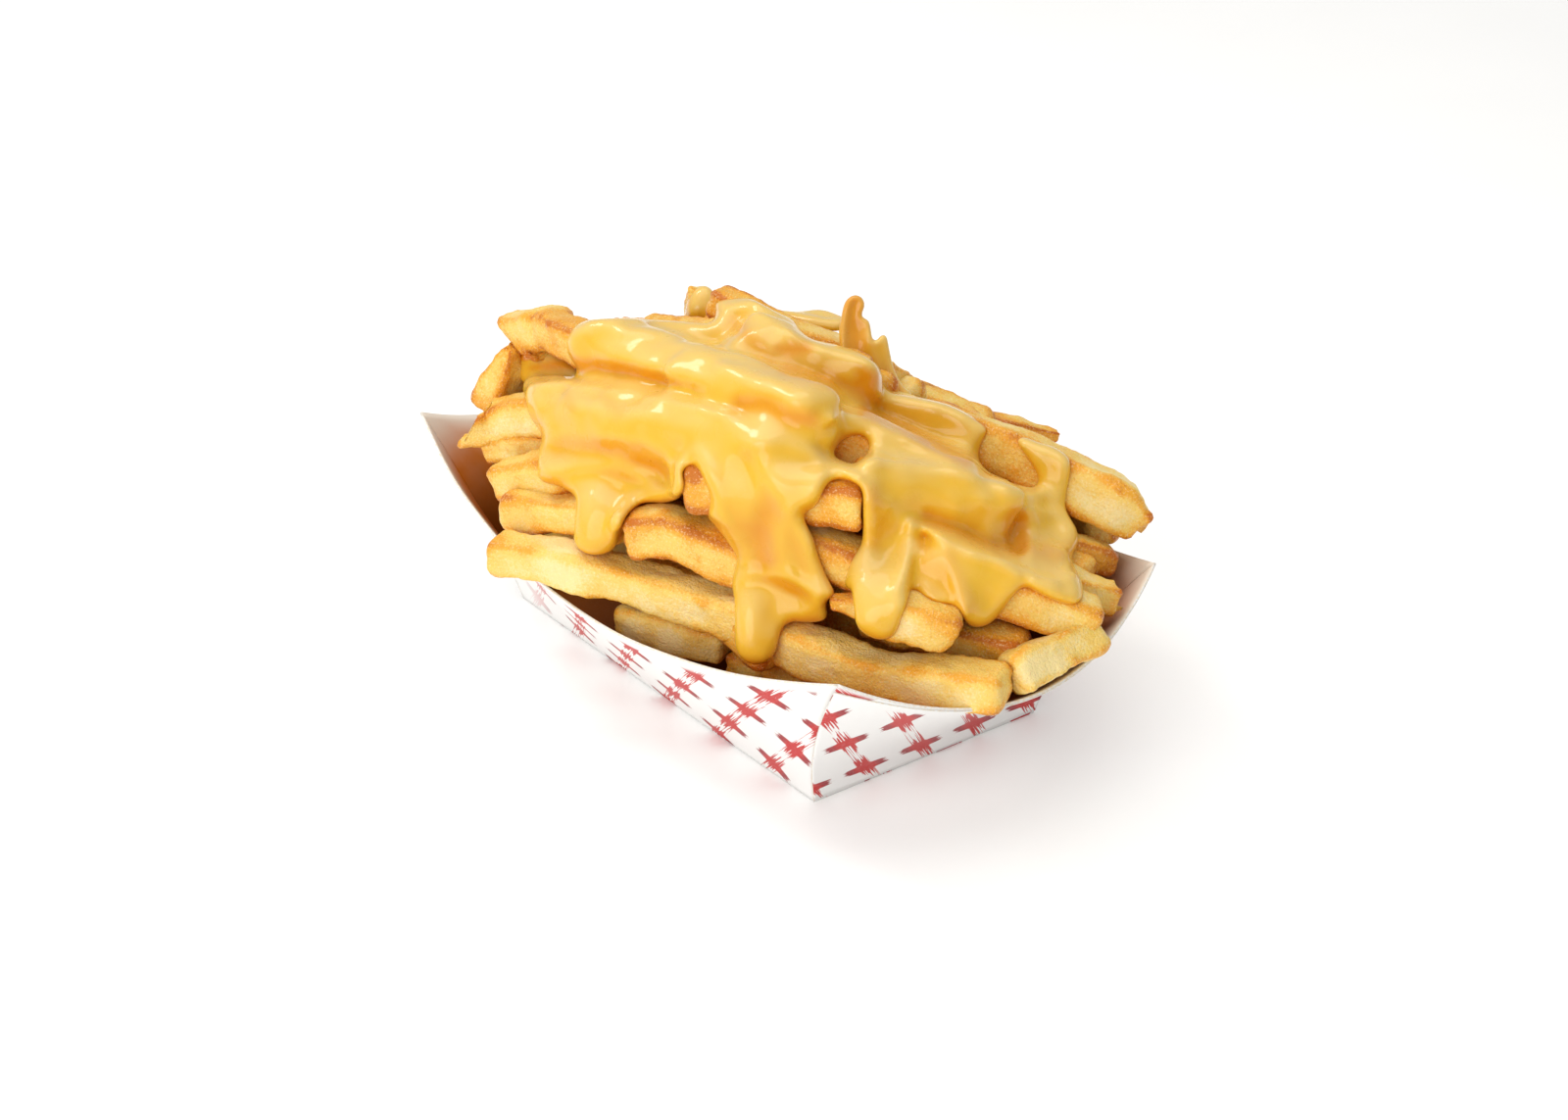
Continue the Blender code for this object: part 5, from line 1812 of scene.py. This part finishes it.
    def skin(self, pours: tuple[Pour, ...], values: Array, bare: Array, low: Array,
             step: float) -> MeshData:
        """Draws the skin where a field crosses zero, with the layers that colour it.

        Hollow is how far the skin lies below its own broad shape, level is the upward part
        of its calmed normal, cover is its distance to the fries, veil its share of amber,
        laid for thin sauce and as painted shade.

        Args:
            pours: the pours that the field holds.
            values: the field.
            bare: distance to the coated fries.
            low: the lattice's first point.
            step: the lattice step.

        Returns:
            The skin.
        """
        places, number = self.crossings(values)
        faces = self.facets(values < 0, number)
        mesh = self.without_scraps(MeshData(low + step * places, faces))
        mesh = facing_out(replace(mesh, points=self.calmed(mesh.points, mesh.quads, 3)))
        p, q = mesh.points, mesh.quads
        broad = self.calmed(p, q, round(self.hollow_reach / step ** 2))
        across = np.cross(p[q[:, 2]] - p[q[:, 0]], p[q[:, 3]] - p[q[:, 1]])
        normal = unit(np.stack([sum(np.bincount(q[:, k], across[:, i], len(p))
                                    for k in range(4)) for i in range(3)], axis=1))
        mesh.layers["hollow"] = ((broad - p) * normal).sum(axis=1)
        mesh.layers["level"] = self.calmed(normal, q, 6)[:, 2]
        mesh.layers["cover"] = self.read(bare, low, step, p)
        # Veils: amber laid for thin sauce and as painted shade
        thin_and_shade_amber = sum(f.lift(Sight(pour.drawn).look(p)[0]) for pour in pours
                    for f in pour.thin_and_shade_veils)
        mesh.layers["thin_and_shade_veil"] = np.clip(thin_and_shade_amber, 0, 1)
        return mesh

    def without_scraps(self, mesh: MeshData) -> MeshData:
        """Drops the small loose skins of a mesh.

        Each point takes the lowest number among its face's points, over and over, until
        nothing changes.

        Args:
            mesh: the mesh.

        Returns:
            The part of it that is kept.
        """
        label = np.arange(len(mesh.points))
        while True:
            lowest = label[mesh.quads].min(axis=1)
            new = label.copy()
            for i in range(4):
                np.minimum.at(new, mesh.quads[:, i], lowest)
            new = new[new]
            if (new == label).all():
                break
            label = new
        sizes = np.bincount(label, minlength=len(label))
        LOG.info("skins of %s points", sorted(sizes[sizes > 0])[::-1][:12])
        keep = sizes[label] >= self.least_points
        number = np.cumsum(keep) - 1
        return MeshData(mesh.points[keep], number[mesh.quads[keep[mesh.quads[:, 0]]]])

    def calmed(self, points: Array, quads: Array, rounds: int) -> Array:
        """Smooths a skin's points: each moves half way to the mean of its neighbours."""
        pairs = np.concatenate([quads[:, [i, (i + 1) % 4]] for i in range(4)])
        degree = np.bincount(pairs[:, 0], minlength=len(points))[:, None]
        for _ in range(rounds):
            total = np.stack([np.bincount(pairs[:, 0], points[pairs[:, 1], i], len(points))
                              for i in range(3)], axis=1)
            points = points + 0.5 * (total / degree - points)
        return points

    def build(self, material: bpy.types.Material) -> None:
        """Makes the sauce.

        Args:
            material: the cheese.
        """
        step = self.step
        for name, pours, low, high, fine in (
                ("cheese_sauce_pours", POURS, self.low, self.high, step),
                ("cheese_sauce_strip", STRIP, self.strip_low, self.strip_high,
                 self.strip_step)):
            low, high = np.array(low), np.array(high)
            whole, bare = self.field(pours, low, high, fine, {**SHOWN, **BEHIND})
            make_piece(name, self.skin(pours, whole, bare, low, fine), [material],
                       "cheese_sauce")


@dataclass
class PaperTray:
    """The folded board tray: four walls, base and a second ply on each short wall.

    A long wall's point at u along it and v up it, with crown 1 - u squared, stands out by
    the flare and the bow times v, and rises to the corner height less the dip. A short
    wall's point is the same with the two ways swapped, and curls out as v to the power
    curl.
    """

    length: float = 115.0
    width: float = 62.4
    tip: float = 44.0
    flare_along: float = 23.4
    flare_across: float = 12.35
    long_bow: float = 10.6
    long_dip: float = 13.9
    short_bow: float = 10.7
    short_dip: float = 12.7
    curl: float = 1.5
    board: float = 0.5
    ply_reach: float = 0.998
    ply_top: float = 0.997
    ply_drop: float = 0.05
    print_margin: float = 3.9
    # Heights where the inside browns (grease with painted shade and bounce light) and darkens
    # lowest down (painted shade under the fries)
    pale_above: float = 43.0
    grease_and_shade_fade: float = 13.0
    soaked_and_shade_below: float = 33.0
    ply_offset: float = 0.34
    ply_board: float = 0.30

    def long_wall(self, u: Array, v: Array, side: int) -> Array:
        """Outer face of a long wall."""
        crown = 1 - u * u
        return np.stack([
            u * (self.length / 2 + self.flare_along * v ** self.curl),
            side * (self.width / 2 + (self.flare_across + self.long_bow * crown) * v),
            (self.tip - self.long_dip * crown) * v], axis=-1)

    def short_wall(self, u: Array, v: Array, side: int) -> Array:
        """Outer face of a short wall."""
        crown = 1 - u * u
        return np.stack([
            side * (self.length / 2 + (self.flare_along + self.short_bow * crown)
                    * v ** self.curl),
            u * (self.width / 2 + self.flare_across * v),
            (self.tip - self.short_dip * crown) * v], axis=-1)

    def sheet(self, face: Callable[[Array, Array], Array], u: Array, v: Array,
              blank: Callable[[Array, Array, Array], Array], offset: float = 0.0,
              thickness: float | None = None, margin: float | None = None) -> MeshData:
        """A piece of board: an outer face, an inner face behind it and a cut edge.

        Args:
            face: the outer face's point at u and v.
            u: values along the wall.
            v: values up the wall.
            blank: the flat blank's place of a point, from u, its own length along the
                wall and its slant height.
            offset: how far the outer face stands out from the given one.
            thickness: the board's, if not the tray's own.
            margin: width without print along the top, if not the tray's own.

        Returns:
            The closed sheet. Its finish is 0 outside, 1 inside and 2 on the cut edge.
        """
        thick = self.board if thickness is None else thickness
        us, vs = np.meshgrid(u, v, indexing="ij")
        outer = face(us, vs)
        du, dv = np.gradient(outer, axis=0), np.gradient(outer, axis=1)
        normal = unit(np.cross(du, dv))
        if (normal * (outer - [0, 0, self.tip])).sum() < 0:
            normal = -normal
        slant = np.concatenate([np.zeros((len(u), 1)), np.cumsum(
            np.linalg.norm(np.diff(outer, axis=1), axis=2), axis=1)], axis=1)
        wavy = 0.10 * waves(outer.reshape(-1, 3), 38, 5).reshape(us.shape) * np.sin(vs * 1.5)
        outer = outer + normal * (offset + wavy)[..., None]
        inner = outer - normal * thick
        flat = blank(us, outer, slant)
        rise = slant[:, -1:] - slant
        printed = np.clip((rise - (self.print_margin if margin is None else margin)) / 0.5, 0, 1)
        printed = printed * self.eased((outer[..., 0] + 64) / 42)
        # Painted shade and warm bounce light, with grease: the inside browns towards the bottom
        # and darkens lowest down.
        grease_and_shade = self.eased(np.minimum((self.pale_above - outer[..., 2]) / self.grease_and_shade_fade,
                                       rise / 8))
        soak_and_shade = self.eased((self.soaked_and_shade_below - outer[..., 2]) / 15)
        n = us.size
        rows, cols = us.shape
        here = np.arange(n).reshape(rows, cols)
        front = np.stack([here[:-1, :-1], here[1:, :-1], here[1:, 1:], here[:-1, 1:]],
                         axis=2).reshape(-1, 4)
        rim = np.concatenate([here[0, :], here[1:, -1], here[-1, -2::-1], here[-2:0:-1, 0]])
        ahead = np.roll(rim, -1)
        edge = np.stack([rim, ahead, ahead + n, rim + n], axis=1)
        quads = np.concatenate([front, front[:, ::-1] + n, edge])
        finish = np.repeat([0, 1, 2], [len(front), len(front), len(edge)])
        points = np.concatenate([outer.reshape(-1, 3), inner.reshape(-1, 3)])
        uv = np.tile(flat.reshape(-1, 2) * MM, (2, 1))
        layers = {key: np.tile(value.ravel(), 2) for key, value in
                  (("printed", printed), ("grease_and_shade", grease_and_shade), ("soak_and_shade", soak_and_shade))}
        mesh = MeshData(points, quads, layers=layers, uv=uv, finish=finish)
        return self.consistent(mesh)

    def eased(self, share: Array) -> Array:
        """A share from 0 to 1 that starts and stops softly."""
        share = np.clip(share, 0, 1)
        return share * share * (3 - 2 * share)

    def ply_print(self, points: Array) -> Array:
        """A second ply's places on the print, which it is cut from askew.

        The print lies straight in the flat sheet through the wall's foot and its two tips,
        as the eye sees it there. Its combs run down and along, its arms nearly level, so
        its two diagonals are linear in the way along that sheet and up it.

        Args:
            points: points of the right-hand ply.

        Returns:
            One place a point, as on the blank.
        """
        eye = np.array(EYE)
        ways = points - eye
        lean = self.flare_along / self.tip
        share = ((self.length / 2 + lean * eye[2] - eye[0])
                 / (ways[..., 0] - lean * ways[..., 2]))
        flat = eye + share[..., None] * ways
        along = flat[..., 1] + self.width / 2
        rise = flat[..., 2] * math.hypot(1, lean)
        comb = 16.65 - 0.004 * along - 1.081 * rise
        arm = -7.83 + 0.873 * along + 0.637 * rise
        return np.stack([comb + arm, arm - comb], axis=2) * math.sqrt(0.5)

    def consistent(self, mesh: MeshData) -> MeshData:
        """Turns a sheet outwards, with its cut edge matched to its faces."""
        edge = mesh.finish == 2
        first = mesh.quads[edge][0]
        pairs = mesh.quads[~edge][:, [0, 1, 2, 3, 0]]
        along = ((pairs[:, :-1] == first[0]) & (pairs[:, 1:] == first[1])).any()
        quads = mesh.quads.copy()
        if along:
            quads[edge] = quads[edge][:, ::-1]
        return facing_out(replace(mesh, quads=quads))

    def build(self, materials: list[bpy.types.Material]) -> None:
        """Makes the walls, the second plies and the base.

        Args:
            materials: outside, inside and cut edge.
        """
        u = np.linspace(-1, 1, 97)
        v = np.linspace(0, 1, 33)
        walls = []
        for side in (-1, 1):
            walls.append(self.sheet(
                lambda a, b, s=side: self.long_wall(a, b, s), u, v,
                lambda a, p, s, k=side: np.stack([p[..., 0], k * (self.width / 2 + s)], 2)))
            walls.append(self.sheet(
                lambda a, b, s=side: self.short_wall(a, b, s), u, v,
                lambda a, p, s, k=side: np.stack([k * (self.length / 2 + s + 2.9),
                                                  p[..., 1] - k * 2.9], 2), margin=0.0))
        half_l, half_w = self.length / 2, self.width / 2
        walls.append(self.sheet(
            lambda a, b: np.stack([a * half_l, (2 * b - 1) * half_w, 0 * a], axis=-1),
            np.linspace(-1, 1, 33), np.linspace(0, 1, 17),
            lambda a, p, s: p[..., :2]))
        make_piece("tray_walls", joined(walls), materials, "tray")
        plies = []
        for side in (-1, 1):
            plies.append(self.sheet(
                lambda a, b, s=side: self.short_wall(
                    a * self.ply_reach,
                    0.02 + (self.ply_top - self.ply_drop * a ** 4 - 0.02) * b, s),
                u, v,
                lambda a, p, s, k=side: self.ply_print(p * [k, k, 1]),
                offset=self.ply_offset, thickness=self.ply_board))
        make_piece("tray_outer_plies", joined(plies), materials, "tray")


@dataclass
class Studio:
    """Camera, pale floor and soft light."""

    key: Point = (-0.50, -0.22, 0.74)
    key_size: float = 0.28
    key_power: float = 1.5
    top: Point = (-0.16, 0.06, 1.18)
    top_size: float = 1.3
    top_power: float = 6.8
    fill: Point = (0.34, -0.82, 0.36)
    fill_size: float = 0.9
    fill_power: float = 5.2
    sky: float = 0.50
    floor_lift: float = 0.11

    def camera(self) -> None:
        """The camera, where the tray is served from."""
        eye, aim = np.array(EYE) * MM, np.array(AIM) * MM
        data = bpy.data.cameras.new("serving_view")
        data.lens = LENS
        data.sensor_width = 36.0
        data.clip_start = 0.01
        camera = bpy.data.objects.new("serving_view", data)
        bpy.context.scene.collection.objects.link(camera)
        camera.location = eye
        way = aim - eye
        level = math.hypot(way[0], way[1])
        camera.rotation_euler = (math.pi / 2 + math.atan2(way[2], level), 0.0,
                                 math.atan2(way[1], way[0]) - math.pi / 2)
        bpy.context.scene.camera = camera

    def softbox(self, name: str, place: Point, size: float, power: float) -> None:
        """A round soft light that faces the tray.

        Args:
            name: its name.
            place: where it hangs, in metres.
            size: its diameter in metres.
            power: its power in watts.
        """
        data = bpy.data.lights.new(name, "AREA")
        data.shape = "DISK"
        data.size = size
        data.energy = power
        data.color = (1.0, 0.985, 0.96)
        light = bpy.data.objects.new(name, data)
        bpy.context.scene.collection.objects.link(light)
        light.location = place
        aim = np.array([0.0, 0.0, 0.04]) - np.array(place)
        level = math.hypot(aim[0], aim[1])
        light.rotation_euler = (math.pi / 2 + math.atan2(aim[2], level), 0.0,
                                math.atan2(aim[1], aim[0]) - math.pi / 2)

    def lights(self) -> None:
        """A soft light over the left, a broad one overhead, a fill and an even sky."""
        self.softbox("key_light", self.key, self.key_size, self.key_power)
        self.softbox("top_light", self.top, self.top_size, self.top_power)
        self.softbox("fill_light", self.fill, self.fill_size, self.fill_power)
        world = bpy.data.worlds.new("studio")
        world.use_nodes = True
        sky = world.node_tree.nodes["Background"]
        sky.inputs["Color"].default_value = (1.0, 0.995, 0.985, 1.0)
        sky.inputs["Strength"].default_value = self.sky
        bpy.context.scene.world = world

    def floor(self, grain: bpy.types.NodeTree) -> None:
        """The pale floor, at zero height, so that the tray stands on it.

        Args:
            grain: the uneven grain group.
        """
        size = 3.0
        data = bpy.data.meshes.new("floor")
        corners = [(-size, -size, 0), (size, -size, 0), (size, size, 0), (-size, size, 0)]
        data.from_pydata(corners, [], [(0, 1, 2, 3)])
        floor = bpy.data.objects.new("floor", data)
        bpy.context.scene.collection.objects.link(floor)
        material, nodes, shader = new_material("pale_floor")
        mottle = nodes.group(grain, Vector=nodes.place(), Scale=120.0)
        colour = nodes.mix(nodes.ramp(mottle.outputs["Broad"], 0.3, 0.7),
                           (0.93, 0.93, 0.925), (0.95, 0.95, 0.945))
        nodes.put(shader.inputs["Base Color"], colour)
        shader.inputs["Roughness"].default_value = 0.55
        shader.inputs["Emission Color"].default_value = (1.0, 1.0, 0.99, 1.0)
        shader.inputs["Emission Strength"].default_value = self.floor_lift
        data.materials.append(material)

    def build(self, grain: bpy.types.NodeTree) -> None:
        """Sets up the whole studio.

        Args:
            grain: the uneven grain group.
        """
        self.camera()
        self.lights()
        self.floor(grain)
        bpy.context.scene.view_settings.view_transform = "Standard"


def main() -> None:
    """Builds the studio, the tray, the fries and the sauce, and notes the sizes."""
    logging.basicConfig(level=logging.INFO, format="%(name)s: %(message)s")
    grain = grain_group()
    Studio().build(grain)
    PaperTray().build(board_materials(BoardFinish(), Check(), grain))
    FryHeap().build(crust_material(CrustFinish(), grain))
    SauceCoat().build(sauce_material(SauceFinish(), grain))


if __name__ == "__main__":
    main()
